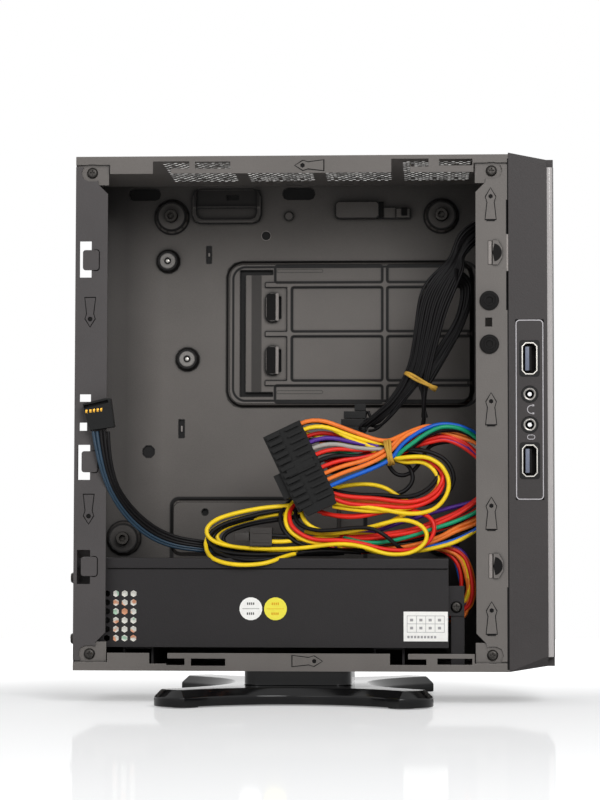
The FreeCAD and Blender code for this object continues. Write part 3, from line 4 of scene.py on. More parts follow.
import bmesh
import bpy
from mathutils import Matrix, Vector


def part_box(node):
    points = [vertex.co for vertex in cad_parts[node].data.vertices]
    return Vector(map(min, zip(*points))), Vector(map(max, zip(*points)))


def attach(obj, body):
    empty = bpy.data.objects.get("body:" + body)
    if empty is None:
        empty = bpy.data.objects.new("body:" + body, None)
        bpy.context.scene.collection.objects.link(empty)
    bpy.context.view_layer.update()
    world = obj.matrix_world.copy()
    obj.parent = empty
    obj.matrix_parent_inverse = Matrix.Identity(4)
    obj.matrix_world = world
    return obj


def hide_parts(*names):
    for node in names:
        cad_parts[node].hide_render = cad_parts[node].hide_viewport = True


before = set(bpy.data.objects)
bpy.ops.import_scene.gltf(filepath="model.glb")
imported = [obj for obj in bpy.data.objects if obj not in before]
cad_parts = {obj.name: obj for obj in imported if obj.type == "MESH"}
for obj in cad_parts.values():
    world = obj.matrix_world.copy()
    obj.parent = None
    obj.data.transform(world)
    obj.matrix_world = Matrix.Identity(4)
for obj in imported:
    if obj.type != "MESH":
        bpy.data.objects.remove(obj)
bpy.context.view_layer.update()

bl_info = {
    "name": "Mini ITX Case Dresser",
    "version": (1, 0, 0),
    "blender": (4, 5, 0),
    "location": "View3D > Sidebar > Case",
    "description": "Dresses a small open pc case: paint, vents, screws, ports, stickers and every wire",
    "category": "Object",
}

MM = 0.001
WALL_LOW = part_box("side_wall")[0]


def at(x, y, z):
    """A place in the case: x from the rear sheet, y to the closed side, z above the chassis, in mm."""
    return Vector((WALL_LOW.x + x * MM, y * MM, WALL_LOW.z + z * MM))


# Depths in mm: the wall's face, the open rim, and the near faces of the supply and the large plug
WALL_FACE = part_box("front_frame")[1].y / MM
OPEN_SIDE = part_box("port_plate")[0].y / MM
SUPPLY_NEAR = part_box("psu_case")[0].y / MM
PLUG_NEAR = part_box("main_plug")[0].y / MM
OUTWARD = (0, -1, 0)


def paint(code):
    """A colour written as six hexadecimal digits, as the linear values that shaders take."""
    values = [int(code[i:i + 2], 16) / 255 for i in (0, 2, 4)]
    return tuple(v / 12.92 if v <= 0.04045 else ((v + 0.055) / 1.055) ** 2.4 for v in values)


def colour_property(name, description, code):
    return bpy.props.FloatVectorProperty(name=name, description=description, subtype="COLOR", size=3,
                                         min=0.0, max=1.0, default=paint(code))


def length_property(name, description, value):
    return bpy.props.FloatProperty(name=name, description=description, subtype="DISTANCE",
                                   unit="LENGTH", default=value, min=0.0, precision=5)


class CasePaint(bpy.types.PropertyGroup):
    """Colours of the metal, plastic and rubber."""

    sheet: colour_property("Case sheet", "Powder coat of the steel sheets", "625e5b")
    # Painted shade: the rear sheet takes the case sheet's coat made darker, for the weaker light on that side
    rear: colour_property("Rear sheet", "Powder coat of the rear sheet, which looks darker", "474444")
    # Painted highlight: the sheets' rounded edges take this lighter coat where they catch the light
    edge: colour_property("Sheet edge", "Lighter coat on the sheet's edges, a painted highlight", "7a7672")
    # Painted shade: dark lines along the pressed wall's slopes and edges, which turn away from the light
    press_shade_line: colour_property("Press lines", "Dark slopes where the side wall is pressed out", "0d0c0c")
    bezel: colour_property("Bezel", "Moulded plastic of the front bezel", "3b3838")
    fascia: colour_property("Fascia", "Gloss front of the bezel", "141313")
    # Painted reflection: the fascia's sides are pale where the gloss would mirror the pale room
    fascia_side_reflection: colour_property("Fascia side", "Pale sides of the fascia, which catch the light", "a8a4a3")
    supply: colour_property("Supply", "Paint of the power supply", "232122")
    stand: colour_property("Stand", "Gloss plastic of the stand", "0b0b0c")
    nylon: colour_property("Plugs", "Black nylon of the plugs", "0f0f0f")
    grey_nylon: colour_property("Small plug", "Grey nylon of the four way plug", "383533")
    rubber: colour_property("Rubber", "Rubber of the bumpers and feet", "1b1a1a")
    band: colour_property("Rubber band", "Tan rubber of the cable bands", "c3983f")
    board: colour_property("Circuit board", "Solder mask of the small boards", "1d4a2a")
    nickel: colour_property("Nickel", "Plated shells of the ports", "b9b6b0")
    screw: colour_property("Screw", "Blackened steel of the screws", "3a3836")


class WirePaint(bpy.types.PropertyGroup):
    """Colours of the wires' insulation."""

    yellow: colour_property("Yellow", "Twelve volt wires", "f4cf1c")
    orange: colour_property("Orange", "Three volt wires", "ee7a2c")
    red: colour_property("Red", "Five volt wires", "dd2418")
    blue: colour_property("Blue", "Minus twelve volt wire", "0c5cc2")
    green: colour_property("Green", "Switch wire", "0a9468")
    purple: colour_property("Purple", "Standby wire", "4d2287")
    grey: colour_property("Grey", "Power good wire", "a3a099")
    black: colour_property("Black", "Ground wires", "121112")
    slate: colour_property("Slate", "Blue-black wires of the drive lead", "24394a")


class CaseSizes(bpy.types.PropertyGroup):
    """Small sizes that give the pieces their finish."""

    edge_round: length_property("Edge rounding", "Rounding of the sheet's folds and cut edges", 0.00016)
    press_round: length_property("Press rounding", "Rounding of the side wall's pressed edges", 0.0003)
    plastic_round: length_property("Plastic rounding", "Rounding of the moulded edges", 0.0004)
    wire_diameter: length_property("Wire", "Outer diameter of a supply wire", 0.002)
    ribbon_diameter: length_property("Ribbon wire", "Outer diameter of a front panel wire", 0.0014)
    band_thickness: length_property("Band", "Thickness of a strand of rubber band", 0.0013)
    vent_radius: length_property("Vent", "Radius of the holes in the top sheet", 0.00095)
    print_height: length_property("Print", "Height of printed lines over their base", 0.00004)
    wobble: length_property("Wobble", "How far a wire of a bundle strays from its course", 0.0005)


class StageSettings(bpy.types.PropertyGroup):
    """Camera and light of the picture."""

    lens: bpy.props.FloatProperty(name="Lens", description="Focal length for a 36 mm high frame",
                                  subtype="DISTANCE_CAMERA", default=115.59, min=10.0)
    camera_place: bpy.props.FloatVectorProperty(name="Camera", description="Where the camera stands",
                                                subtype="TRANSLATION", unit="LENGTH", size=3,
                                                default=(0.05526, -1.20475, 0.06686))
    camera_turn: bpy.props.FloatVectorProperty(
        name="Turn", description="Pitch up, roll and yaw of the camera", subtype="EULER", unit="ROTATION",
        size=3, default=(math.radians(3.4744), math.radians(-0.1008), math.radians(2.9863)))
    key_power: bpy.props.FloatProperty(name="Key light", description="Power of the large soft light",
                                       subtype="POWER", unit="POWER", default=13.5, min=0.0)
    fill_power: bpy.props.FloatProperty(name="Fill light", description="Power of the fill light",
                                        subtype="POWER", unit="POWER", default=2.4, min=0.0)
    world_strength: bpy.props.FloatProperty(name="Room light", description="Strength of the even room light",
                                            default=0.3, min=0.0)
    floor_radius: length_property("Floor radius", "Radius of the round pale floor", 0.9)
    floor_mirror: bpy.props.FloatProperty(name="Floor mirror", description="Share of the floor that reflects",
                                          subtype="FACTOR", default=0.2, min=0.0, max=1.0)
    floor_glow: bpy.props.FloatProperty(name="Floor glow", default=0.32, min=0.0,
                                        description="How much the floor is lifted for the camera")
    floor_colour: colour_property("Floor", "Pale floor under the case", "f4f5f6")


# Small helpers for meshes and modifiers

def put(name, data, material, body="case", stands_for=()):
    """Makes the object, gives it its material and hangs it on its body."""
    obj = bpy.data.objects.new(name, data)
    bpy.context.scene.collection.objects.link(obj)
    while data.materials:
        data.materials.pop()
    data.materials.append(material)
    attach(obj, body)
    if stands_for:
        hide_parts(*stands_for)
    return obj


def finished_mesh(bm, name, angle=35):
    """Turns mesh code into a mesh that is smooth but for edges sharper than the angle."""
    bmesh.ops.remove_doubles(bm, verts=bm.verts, dist=1e-7)
    bmesh.ops.recalc_face_normals(bm, faces=bm.faces)
    mesh = bpy.data.meshes.new(name)
    bm.to_mesh(mesh)
    bm.free()
    mesh.shade_smooth()
    mesh.set_sharp_from_angle(angle=math.radians(angle))
    return mesh


def smooth_tree():
    """Geometry nodes that shade faces smooth and keep edges over a given angle sharp."""
    name = "smooth but for corners"
    if name in bpy.data.node_groups:
        return bpy.data.node_groups[name]
    tree = bpy.data.node_groups.new(name, "GeometryNodeTree")
    tree.interface.new_socket("Geometry", in_out="INPUT", socket_type="NodeSocketGeometry")
    angle = tree.interface.new_socket("Angle", in_out="INPUT", socket_type="NodeSocketFloat")
    angle.default_value = math.radians(32)
    tree.interface.new_socket("Geometry", in_out="OUTPUT", socket_type="NodeSocketGeometry")
    source = tree.nodes.new("NodeGroupInput")
    faces = tree.nodes.new("GeometryNodeSetShadeSmooth")
    faces.domain = "FACE"
    edges = tree.nodes.new("GeometryNodeSetShadeSmooth")
    edges.domain = "EDGE"
    edges.inputs["Shade Smooth"].default_value = False
    fold = tree.nodes.new("GeometryNodeInputMeshEdgeAngle")
    over = tree.nodes.new("FunctionNodeCompare")
    over.operation = "GREATER_THAN"
    out = tree.nodes.new("NodeGroupOutput")
    tree.links.new(source.outputs["Geometry"], faces.inputs["Geometry"])
    tree.links.new(faces.outputs["Geometry"], edges.inputs["Geometry"])
    tree.links.new(fold.outputs["Unsigned Angle"], over.inputs["A"])
    tree.links.new(source.outputs["Angle"], over.inputs["B"])
    tree.links.new(over.outputs["Result"], edges.inputs["Selection"])
    tree.links.new(edges.outputs["Geometry"], out.inputs["Geometry"])
    return tree


def soften(obj, width, segments=2, edge_slot=None, angle=28):
    """Joins the flat triangles of a solid and rounds its edges by a little."""
    weld = obj.modifiers.new("weld", "WELD")
    weld.merge_threshold = 1e-6
    flat = obj.modifiers.new("flat faces", "DECIMATE")
    flat.decimate_type = "DISSOLVE"
    flat.angle_limit = math.radians(0.6)
    bevel = obj.modifiers.new("rounding", "BEVEL")
    bevel.width = width
    bevel.segments = segments
    bevel.limit_method = "ANGLE"
    bevel.angle_limit = math.radians(angle)
    bevel.use_clamp_overlap = True
    if edge_slot is not None:
        bevel.material = edge_slot
    shade = obj.modifiers.new("smooth", "NODES")
    shade.node_group = smooth_tree()
    even_normals(obj)
    return obj


def even_normals(obj):
    """Keeps wide flat faces evenly shaded beside their rounded edges."""
    even = obj.modifiers.new("even normals", "WEIGHTED_NORMAL")
    even.keep_sharp = True
    even.weight = 100


def smooth_only(obj):
    """Shades a piece smooth but for its corners."""
    weld = obj.modifiers.new("weld", "WELD")
    weld.merge_threshold = 1e-6
    shade = obj.modifiers.new("smooth", "NODES")
    shade.node_group = smooth_tree()
    return obj


def dress(node, material, edge_material=None):
    """Gives a CAD piece its material, and a second one for its rounded edges."""
    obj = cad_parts[node]
    for index in range(len(obj.data.materials)):
        obj.data.materials[index] = material
    if not obj.data.materials:
        obj.data.materials.append(material)
    if edge_material:
        obj.data.materials.append(edge_material)
    return obj


def evaluated(obj):
    """A mesh with the object's modifiers applied."""
    graph = bpy.context.evaluated_depsgraph_get()
    graph.update()
    return bpy.data.meshes.new_from_object(obj.evaluated_get(graph), depsgraph=graph)


def copied(node, name, flatten=None):
    """A working copy of a CAD piece with its corners joined; marks nearer than flatten, in mm, go flush."""
    bm = bmesh.new()
    bm.from_mesh(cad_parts[node].data)
    for vert in bm.verts:
        if flatten is not None and vert.co.y < flatten * MM:
            vert.co.y = flatten * MM
    bmesh.ops.remove_doubles(bm, verts=bm.verts, dist=1e-6)
    bmesh.ops.dissolve_limit(bm, angle_limit=math.radians(0.6), verts=bm.verts, edges=bm.edges)
    mesh = bpy.data.meshes.new(name)
    bm.to_mesh(mesh)
    bm.free()
    obj = bpy.data.objects.new(name, mesh)
    bpy.context.scene.collection.objects.link(obj)
    return obj


def carved(node, name, cutter, width, flatten=None, inner_slot=0):
    """A copy of a CAD piece with rounded edges, less the cutter's form, whose walls may take another slot."""
    base = copied(node, name, flatten)
    bevel = base.modifiers.new("rounding", "BEVEL")
    bevel.width = width
    bevel.segments = 2
    bevel.limit_method = "ANGLE"
    bevel.angle_limit = math.radians(28)
    tool_mesh = bpy.data.meshes.new(name + "_cutter")
    for face in cutter.faces:
        face.material_index = inner_slot
    cutter.to_mesh(tool_mesh)
    cutter.free()
    tool = bpy.data.objects.new(name + "_cutter", tool_mesh)
    bpy.context.scene.collection.objects.link(tool)
    cut = base.modifiers.new("openings", "BOOLEAN")
    cut.object = tool
    cut.operation = "DIFFERENCE"
    cut.solver = "EXACT"
    shade = base.modifiers.new("smooth", "NODES")
    shade.node_group = smooth_tree()
    mesh = evaluated(base)
    mesh.name = name
    bpy.data.objects.remove(tool)
    bpy.data.objects.remove(base)
    return mesh


def pins(holes, depth, sides):
    """Mesh code for round cutters: each hole is a place, an axis and a radius."""
    bm = bmesh.new()
    for place, axis, radius in holes:
        turn = Vector((0, 0, 1)).rotation_difference(Vector(axis)).to_matrix().to_4x4()
        bmesh.ops.create_cone(bm, cap_ends=True, segments=sides, radius1=radius, radius2=radius,
                              depth=depth, matrix=Matrix.Translation(place) @ turn)
    return bm


def rounded_outline(x0, x1, z0, z1, corner, steps=4):
    """Points round a rectangle with round corners, in the case's mm."""
    points = []
    for x, z, quarter in ((x1 - corner, z1 - corner, 0), (x0 + corner, z1 - corner, 1),
                          (x0 + corner, z0 + corner, 2), (x1 - corner, z0 + corner, 3)):
        for step in range(steps + 1):
            angle = (quarter + step / steps) * math.pi / 2
            points.append((x + corner * math.cos(angle), z + corner * math.sin(angle)))
    return points


def round_outline(x, z, radius, sides=28):
    return [(x + radius * math.cos(2 * math.pi * i / sides), z + radius * math.sin(2 * math.pi * i / sides))
            for i in range(sides)]


def arc_outline(x, z, outer, inner, start, end, steps=16):
    """Points round a bent stroke between two radii, from one angle to another in degrees."""
    turns = [math.radians(start + (end - start) * i / steps) for i in range(steps + 1)]
    far = [(x + outer * math.cos(turn), z + outer * math.sin(turn)) for turn in turns]
    near = [(x + inner * math.cos(turn), z + inner * math.sin(turn)) for turn in reversed(turns)]
    return far + near


def flat_piece(outline, near, far, holes=()):
    """Mesh code for a piece cut from flat stock: outlines in x and z, between two depths, in mm."""
    bm = bmesh.new()
    edges = []
    for ring in (outline, *holes):
        spots = [bm.verts.new(at(x, far, z)) for x, z in ring]
        edges += [bm.edges.new(pair) for pair in zip(spots, spots[1:] + spots[:1])]
    bmesh.ops.triangle_fill(bm, use_beauty=True, use_dissolve=False, edges=edges)
    made = bmesh.ops.extrude_face_region(bm, geom=bm.faces[:])
    moved = [item for item in made["geom"] if isinstance(item, bmesh.types.BMVert)]
    bmesh.ops.translate(bm, verts=moved, vec=(0.0, (near - far) * MM, 0.0))
    return bm


def box_piece(x0, x1, y0, y1, z0, z1, rounding=0.0):
    return block(at(x0, y0, z0), at(x1, y1, z1), rounding * MM)


def turned(profile, place, axis, steps=40, close=True, crossed=()):
    """Mesh code for a turned form: profile is radius and distance along the axis, in mm.

    Rings whose number is in crossed are pinched four times, as in the recess of a screw.
    """
    bm = bmesh.new()
    turn = Vector((0, 0, 1)).rotation_difference(Vector(axis)).to_matrix()
    rings = []
    for number, (radius, along) in enumerate(profile):
        if radius < 1e-6:
            rings.append([bm.verts.new(place + turn @ Vector((0, 0, along * MM)))])
            continue
        ring = []
        for step in range(steps):
            angle = 2 * math.pi * step / steps
            wide = radius * (0.3 + 0.7 * abs(math.cos(2 * angle)) ** 3 if number in crossed else 1.0)
            spot = Vector((wide * math.cos(angle), wide * math.sin(angle), along)) * MM
            ring.append(bm.verts.new(place + turn @ spot))
        rings.append(ring)
    pairs = list(zip(rings, rings[1:]))
    if close:
        pairs.append((rings[-1], rings[0]))
    for low, high in pairs:
        if len(low) == 1 and len(high) == 1:
            continue
        for step in range(steps):
            after = (step + 1) % steps
            if len(low) == 1:
                bm.faces.new((low[0], high[step], high[after]))
            elif len(high) == 1:
                bm.faces.new((low[step], low[after], high[0]))
            else:
                bm.faces.new((low[step], low[after], high[after], high[step]))
    return bm


def merged(parts, name, angle=35):
    """Several pieces of mesh code as one mesh."""
    whole = bmesh.new()
    for part in parts:
        mesh = bpy.data.meshes.new("part")
        part.to_mesh(mesh)
        part.free()
        whole.from_mesh(mesh)
        bpy.data.meshes.remove(mesh)
    return finished_mesh(whole, name, angle)


def block(low, high, rounding=0.0):
    """Mesh code for a block between two corners, with rounded edges."""
    bm = bmesh.new()
    size = Vector(high) - Vector(low)
    middle = (Vector(high) + Vector(low)) / 2
    bmesh.ops.create_cube(bm, size=1.0, matrix=Matrix.Translation(middle) @ Matrix.Diagonal((*size, 1.0)))
    if rounding:
        bmesh.ops.bevel(bm, geom=bm.edges[:], offset=rounding, segments=2, affect="EDGES", profile=0.6)
    return bm


# Materials

def shader(name):
    """A new material with an empty surface: its tree, its Principled shader and a point in space."""
    material = bpy.data.materials.new(name)
    material.use_nodes = True
    tree = material.node_tree
    principled = tree.nodes["Principled BSDF"]
    place = tree.nodes.new("ShaderNodeTexCoord").outputs["Object"]
    return material, tree, principled, place


def noise(tree, place, scale, detail=3.0, roughness=0.55):
    node = tree.nodes.new("ShaderNodeTexNoise")
    node.inputs["Scale"].default_value = scale
    node.inputs["Detail"].default_value = detail
    node.inputs["Roughness"].default_value = roughness
    tree.links.new(place, node.inputs["Vector"])
    return node.outputs["Fac"]


def ramp(tree, factor, stops):
    node = tree.nodes.new("ShaderNodeValToRGB")
    elements = node.color_ramp.elements
    while len(elements) < len(stops):
        elements.new(0.5)
    for element, (position, colour) in zip(elements, stops):
        element.position = position
        element.color = (*colour, 1.0)
    tree.links.new(factor, node.inputs["Fac"])
    return node.outputs["Color"]


def mapped(tree, factor, low, high, start=0.3, end=0.7):
    """Carries a factor's span from start to end over to the span from low to high."""
    node = tree.nodes.new("ShaderNodeMapRange")
    node.inputs["From Min"].default_value = start
    node.inputs["From Max"].default_value = end
    node.inputs["To Min"].default_value = low
    node.inputs["To Max"].default_value = high
    tree.links.new(factor, node.inputs["Value"])
    return node.outputs["Result"]


def mixed(tree, factor, one, two, way="MIX"):
    """Mixes two colours, each a socket or a plain colour, by a socket or a number."""
    node = tree.nodes.new("ShaderNodeMix")
    node.data_type = "RGBA"
    node.blend_type = way
    for key, value in (("Factor", factor), ("A", one), ("B", two)):
        sockets = [s for s in node.inputs if s.name == key and s.enabled]
        socket = sockets[0]
        if isinstance(value, bpy.types.NodeSocket):
            tree.links.new(value, socket)
        elif key == "Factor":
            socket.default_value = value
        else:
            socket.default_value = (*value, 1.0)
    return [s for s in node.outputs if s.name == "Result" and s.enabled][0]


def scaled(colour, amount):
    return tuple(min(1.0, c * amount) for c in colour)


def plain(tree, operation, one, two=None):
    """One step of arithmetic on one or two values, each a socket or a number."""
    node = tree.nodes.new("ShaderNodeMath")
    node.operation = operation
    for index, value in enumerate((one, two)):
        if isinstance(value, bpy.types.NodeSocket):
            tree.links.new(value, node.inputs[index])
        elif value is not None:
            node.inputs[index].default_value = value
    return node.outputs[0]


def greater(tree, one, two):
    """The larger of two values, where the first may be missing."""
    return two if one is None else plain(tree, "MAXIMUM", one, two)


def bumped(tree, principled, heights, distance):
    """Adds the heights, each a socket and a weight, and bends the normals by them."""
    total = None
    for socket, weight in heights:
        part = plain(tree, "MULTIPLY", socket, weight)
        total = part if total is None else plain(tree, "ADD", total, part)
    bump = tree.nodes.new("ShaderNodeBump")
    bump.inputs["Strength"].default_value = 1.0
    bump.inputs["Distance"].default_value = distance
    tree.links.new(total, bump.inputs["Height"])
    tree.links.new(bump.outputs["Normal"], principled.inputs["Normal"])


CREASE_SHADE_COLOUR = (0.02, 0.019, 0.018)


def clouded(tree, factor, colour, dark, light):
    """A colour that wavers between a darker and a lighter tone of itself."""
    return ramp(tree, factor, ((0.3, scaled(colour, dark)), (0.7, scaled(colour, light))))


def surface(tree, principled, base, roughness, specular=None):
    """Joins a colour and a roughness to the shader, and sets its gloss where that is given."""
    tree.links.new(base, principled.inputs["Base Color"])
    tree.links.new(roughness, principled.inputs["Roughness"])
    if specular is not None:
        principled.inputs["Specular IOR Level"].default_value = specular


def crease_shaded(tree, colour, reach, depth):
    """Painted shade: darkens a colour in creases narrower than the reach."""
    shade = tree.nodes.new("ShaderNodeAmbientOcclusion")
    shade.inputs["Distance"].default_value = reach
    shade.samples = 6
    shade.only_local = True
    dark = mapped(tree, shade.outputs["AO"], 0.0, 1.0, depth, 0.92)
    return mixed(tree, dark, CREASE_SHADE_COLOUR, colour)


def facing(tree, axis):
    """How far the surface faces along an axis, from -1 to 1."""
    normal = tree.nodes.new("ShaderNodeSeparateXYZ")
    tree.links.new(tree.nodes.new("ShaderNodeNewGeometry").outputs["True Normal"], normal.inputs[0])
    return normal.outputs[axis]


def normal_bend(tree, radius):
    """How far the surface turns within a radius: 0 on the flat, 1 on an edge or in a corner."""
    soft = tree.nodes.new("ShaderNodeBevel")
    soft.samples = 8
    soft.inputs["Radius"].default_value = radius
    true = tree.nodes.new("ShaderNodeNewGeometry").outputs["True Normal"]
    agree = tree.nodes.new("ShaderNodeVectorMath")
    agree.operation = "DOT_PRODUCT"
    tree.links.new(soft.outputs["Normal"], agree.inputs[0])
    tree.links.new(true, agree.inputs[1])
    return mapped(tree, agree.outputs["Value"], 1.0, 0.0, 0.965, 0.996)


def shade_ring_lines(tree, place, rings):
    """Painted shade in rings on the wall, along the edges of its pressed seats: each is a centre, a radius
    and a width, in metres.
    """
    flat = tree.nodes.new("ShaderNodeVectorMath")
    flat.operation = "MULTIPLY"
    flat.inputs[1].default_value = (1.0, 0.0, 1.0)
    tree.links.new(place, flat.inputs[0])
    lines = None
    for centre, radius, width in rings:
        away = tree.nodes.new("ShaderNodeVectorMath")
        away.operation = "DISTANCE"
        away.inputs[1].default_value = (centre.x, 0.0, centre.z)
        tree.links.new(flat.outputs[0], away.inputs[0])
        apart = plain(tree, "ABSOLUTE", plain(tree, "SUBTRACT", away.outputs["Value"], radius))
        lines = greater(tree, lines, mapped(tree, apart, 1.0, 0.0, width * 0.38, width * 0.6))
    return lines


def past_sides(tree, place, centre, half_x, half_z):
    """How far a place lies past the sides of a rectangle on the wall, along x and along z."""
    split = tree.nodes.new("ShaderNodeSeparateXYZ")
    tree.links.new(place, split.inputs[0])
    past = []
    for axis, middle, half in (("X", centre.x, half_x), ("Z", centre.z, half_z)):
        away = plain(tree, "ABSOLUTE", plain(tree, "SUBTRACT", split.outputs[axis], middle))
        past.append(plain(tree, "SUBTRACT", away, half))
    return past


def shade_outlined_boxes(tree, place, boxes):
    """Painted shade as dark lines round rectangles on the wall: each is a middle, half sizes, a corner and a
    line width.
    """
    lines = None
    for centre, wide, high, corner, width in boxes:
        past = past_sides(tree, place, centre, wide - corner, high - corner)
        outside = [plain(tree, "POWER", plain(tree, "MAXIMUM", value, 0.0), 2.0) for value in past]
        reach = plain(tree, "SQRT", plain(tree, "ADD", *outside))
        inside = plain(tree, "MINIMUM", plain(tree, "MAXIMUM", *past), 0.0)
        edge = plain(tree, "SUBTRACT", plain(tree, "ADD", reach, inside), corner)
        near = plain(tree, "ABSOLUTE", edge)
        lines = greater(tree, lines, mapped(tree, near, 1.0, 0.0, width * 0.34, width * 0.62))
    return lines


def shaded_boxes(tree, place, boxes):
    """Shaded fields on the wall: each is a middle, half sizes in x and z, how dark it is and how soft."""
    fields = None
    for centre, wide, high, dark, soft in boxes:
        edge = plain(tree, "MAXIMUM", *past_sides(tree, place, centre, wide, high))
        fields = greater(tree, fields, mapped(tree, edge, dark, 0.0, -soft, soft))
    return fields


def powder_coat(name, colour, crease=0.0016, lines=0.0, press_shade_colour=(0.0, 0.0, 0.0)):
    """Satin powder coat on steel: fine orange peel, a faint cloudiness, and painted shade in creases and
    along the press lines.
    """
    material, tree, principled, place = shader(name)
    cloud = noise(tree, place, 22.0, 3.0)
    speckle = noise(tree, place, 2600.0, 2.0, 0.7)
    base = clouded(tree, cloud, colour, 0.88, 1.1)
    base = mixed(tree, mapped(tree, speckle, 0.0, 0.22), base, scaled(colour, 1.5))
    if crease:
        base = crease_shaded(tree, base, crease, 0.5)
    if lines:
        # Painted shade: the coat darkens near the rims and walls that stand round it
        rim = tree.nodes.new("ShaderNodeAmbientOcclusion")
        rim.inputs["Distance"].default_value = 0.06
        rim.samples = 8
        base = mixed(tree, mapped(tree, rim.outputs["AO"], 0.65, 0.0, 0.4, 0.78), base, press_shade_colour)
        # Painted shade: dark lines on the pressed edges, the seat rings, the cell outlines and the shaded
        # fields
        dark = greater(tree, shade_ring_lines(tree, place, seat_shade_rings()), normal_bend(tree, lines))
        dark = greater(tree, dark, shade_outlined_boxes(tree, place, press_shade_outlines()))
        dark = greater(tree, dark, shaded_boxes(tree, place, press_shades()))
        base = mixed(tree, dark, base, press_shade_colour)
    surface(tree, principled, base, mapped(tree, cloud, 0.42, 0.54), 0.18)
    bumped(tree, principled, ((noise(tree, place, 1500.0, 2.0), 1.0), (speckle, 0.4)), 0.00004)
    return material


def cover_coat(name, colour):
    """Powder coat outside, and dark inside, where no light falls between the two sheets."""
    material, tree, principled, place = shader(name)
    cloud = noise(tree, place, 22.0, 3.0)
    base = clouded(tree, cloud, colour, 0.9, 1.1)
    base = mixed(tree, mapped(tree, facing(tree, "Y"), 0.0, 1.0, -0.5, -0.1), paint("090808"), base)
    surface(tree, principled, base, mapped(tree, cloud, 0.42, 0.54), 0.2)
    bumped(tree, principled, ((noise(tree, place, 1500.0, 2.0), 1.0),), 0.00004)
    return material


def glowing_vent_edge(name, colour):
    """The bare bright walls of the punched vents, with a painted glow for the light that falls into them."""
    material, tree, principled, place = shader(name)
    burr = noise(tree, place, 300.0, 1.0)
    base = ramp(tree, burr, ((0.4, scaled(colour, 0.5)), (0.56, scaled(colour, 1.35))))
    tree.links.new(base, principled.inputs["Base Color"])
    tree.links.new(base, principled.inputs["Emission Color"])
    # Painted light: the vent walls glow a little, though they are no lamp
    principled.inputs["Emission Strength"].default_value = 0.35
    principled.inputs["Roughness"].default_value = 0.4
    return material


def glowing_psu_lining(name, colour):
    """The pale parts seen through the supply's holes, with patches of warm and green, and a painted glow for
    the light that comes through them.
    """
    material, tree, principled, place = shader(name)
    patch = noise(tree, place, 170.0, 1.0)
    base = ramp(tree, patch, ((0.36, paint("d99a78")), (0.42, colour), (0.6, scaled(colour, 1.1)),
                              (0.64, paint("a9c9b2"))))
    tree.links.new(base, principled.inputs["Base Color"])
    tree.links.new(base, principled.inputs["Emission Color"])
    # Painted light: the lining glows, though it is no lamp
    principled.inputs["Emission Strength"].default_value = 0.55
    principled.inputs["Roughness"].default_value = 0.5
    return material


def moulded(name, colour, roughness, grain=1800.0, depth=0.00003, spread=0.1):
    """Moulded plastic with a fine grain and slightly uneven gloss."""
    material, tree, principled, place = shader(name)
    cloud = noise(tree, place, 30.0, 4.0)
    fine = noise(tree, place, grain, 2.0)
    base = clouded(tree, cloud, colour, 0.9, 1.08)
    base = mixed(tree, mapped(tree, fine, 0.0, 0.18), base, scaled(colour, 1.35))
    surface(tree, principled, base, mapped(tree, cloud, roughness, roughness + spread), 0.16)
    bumped(tree, principled, ((fine, 1.0),), depth)
    return material


def gloss_black(name, colour, side=None):
    """Polished black plastic with faint smears and a little dust, and a painted reflection on its sides where
    it has them.
    """
    material, tree, principled, place = shader(name)
    dust = noise(tree, place, 900.0, 2.0, 0.75)
    smear = noise(tree, place, 16.0, 4.0)
    base = ramp(tree, dust, ((0.62, colour), (0.86, scaled(colour, 3.0))))
    if side:
        # Painted reflection: faces turned sideways take the pale side colour
        sideways = plain(tree, "ABSOLUTE", facing(tree, "Y"))
        base = mixed(tree, mapped(tree, sideways, 0.0, 1.0, 0.5, 0.8), base, side)
    surface(tree, principled, base, mapped(tree, smear, 0.06, 0.17), 0.3)
    bumped(tree, principled, ((smear, 1.0),), 0.00003)
    return material


def plated(name, colour, roughness=0.28):
    """Plated metal with fine rolling lines."""
    material, tree, principled, place = shader(name)
    stretch = tree.nodes.new("ShaderNodeMapping")
    stretch.inputs["Scale"].default_value = (1.0, 0.06, 1.0)
    tree.links.new(place, stretch.inputs["Vector"])
    lines = noise(tree, stretch.outputs["Vector"], 2400.0, 3.0)
    cloud = noise(tree, place, 60.0, 3.0)
    base = clouded(tree, cloud, colour, 0.82, 1.08)
    surface(tree, principled, base, mapped(tree, lines, roughness, roughness + 0.14))
    principled.inputs["Metallic"].default_value = 1.0
    bumped(tree, principled, ((lines, 1.0),), 0.000012)
    return material


def wire_jacket(name, colour, roughness=0.36):
    """Soft shiny wire insulation with faint handling marks."""
    material, tree, principled, place = shader(name)
    cloud = noise(tree, place, 120.0, 3.0)
    fine = noise(tree, place, 1400.0, 2.0)
    base = ramp(tree, cloud, ((0.3, scaled(colour, 0.86)), (0.72, scaled(colour, 1.06))))
    gloss = 0.3 if max(colour) > 0.05 else 0.12
    surface(tree, principled, base, mapped(tree, fine, roughness, roughness + 0.12), gloss)
    bumped(tree, principled, ((cloud, 1.0), (fine, 0.15)), 0.00006)
    return material


def rubbery(name, colour, roughness=0.7):
    """Rubber with a matt, slightly dusty skin."""
    material, tree, principled, place = shader(name)
    cloud = noise(tree, place, 160.0, 4.0)
    fine = noise(tree, place, 2200.0, 2.0)
    base = ramp(tree, cloud, ((0.28, scaled(colour, 0.74)), (0.74, scaled(colour, 1.18))))
    surface(tree, principled, base, mapped(tree, fine, roughness, roughness + 0.15), 0.12)
    bumped(tree, principled, ((cloud, 1.0), (fine, 0.3)), 0.00005)
    return material


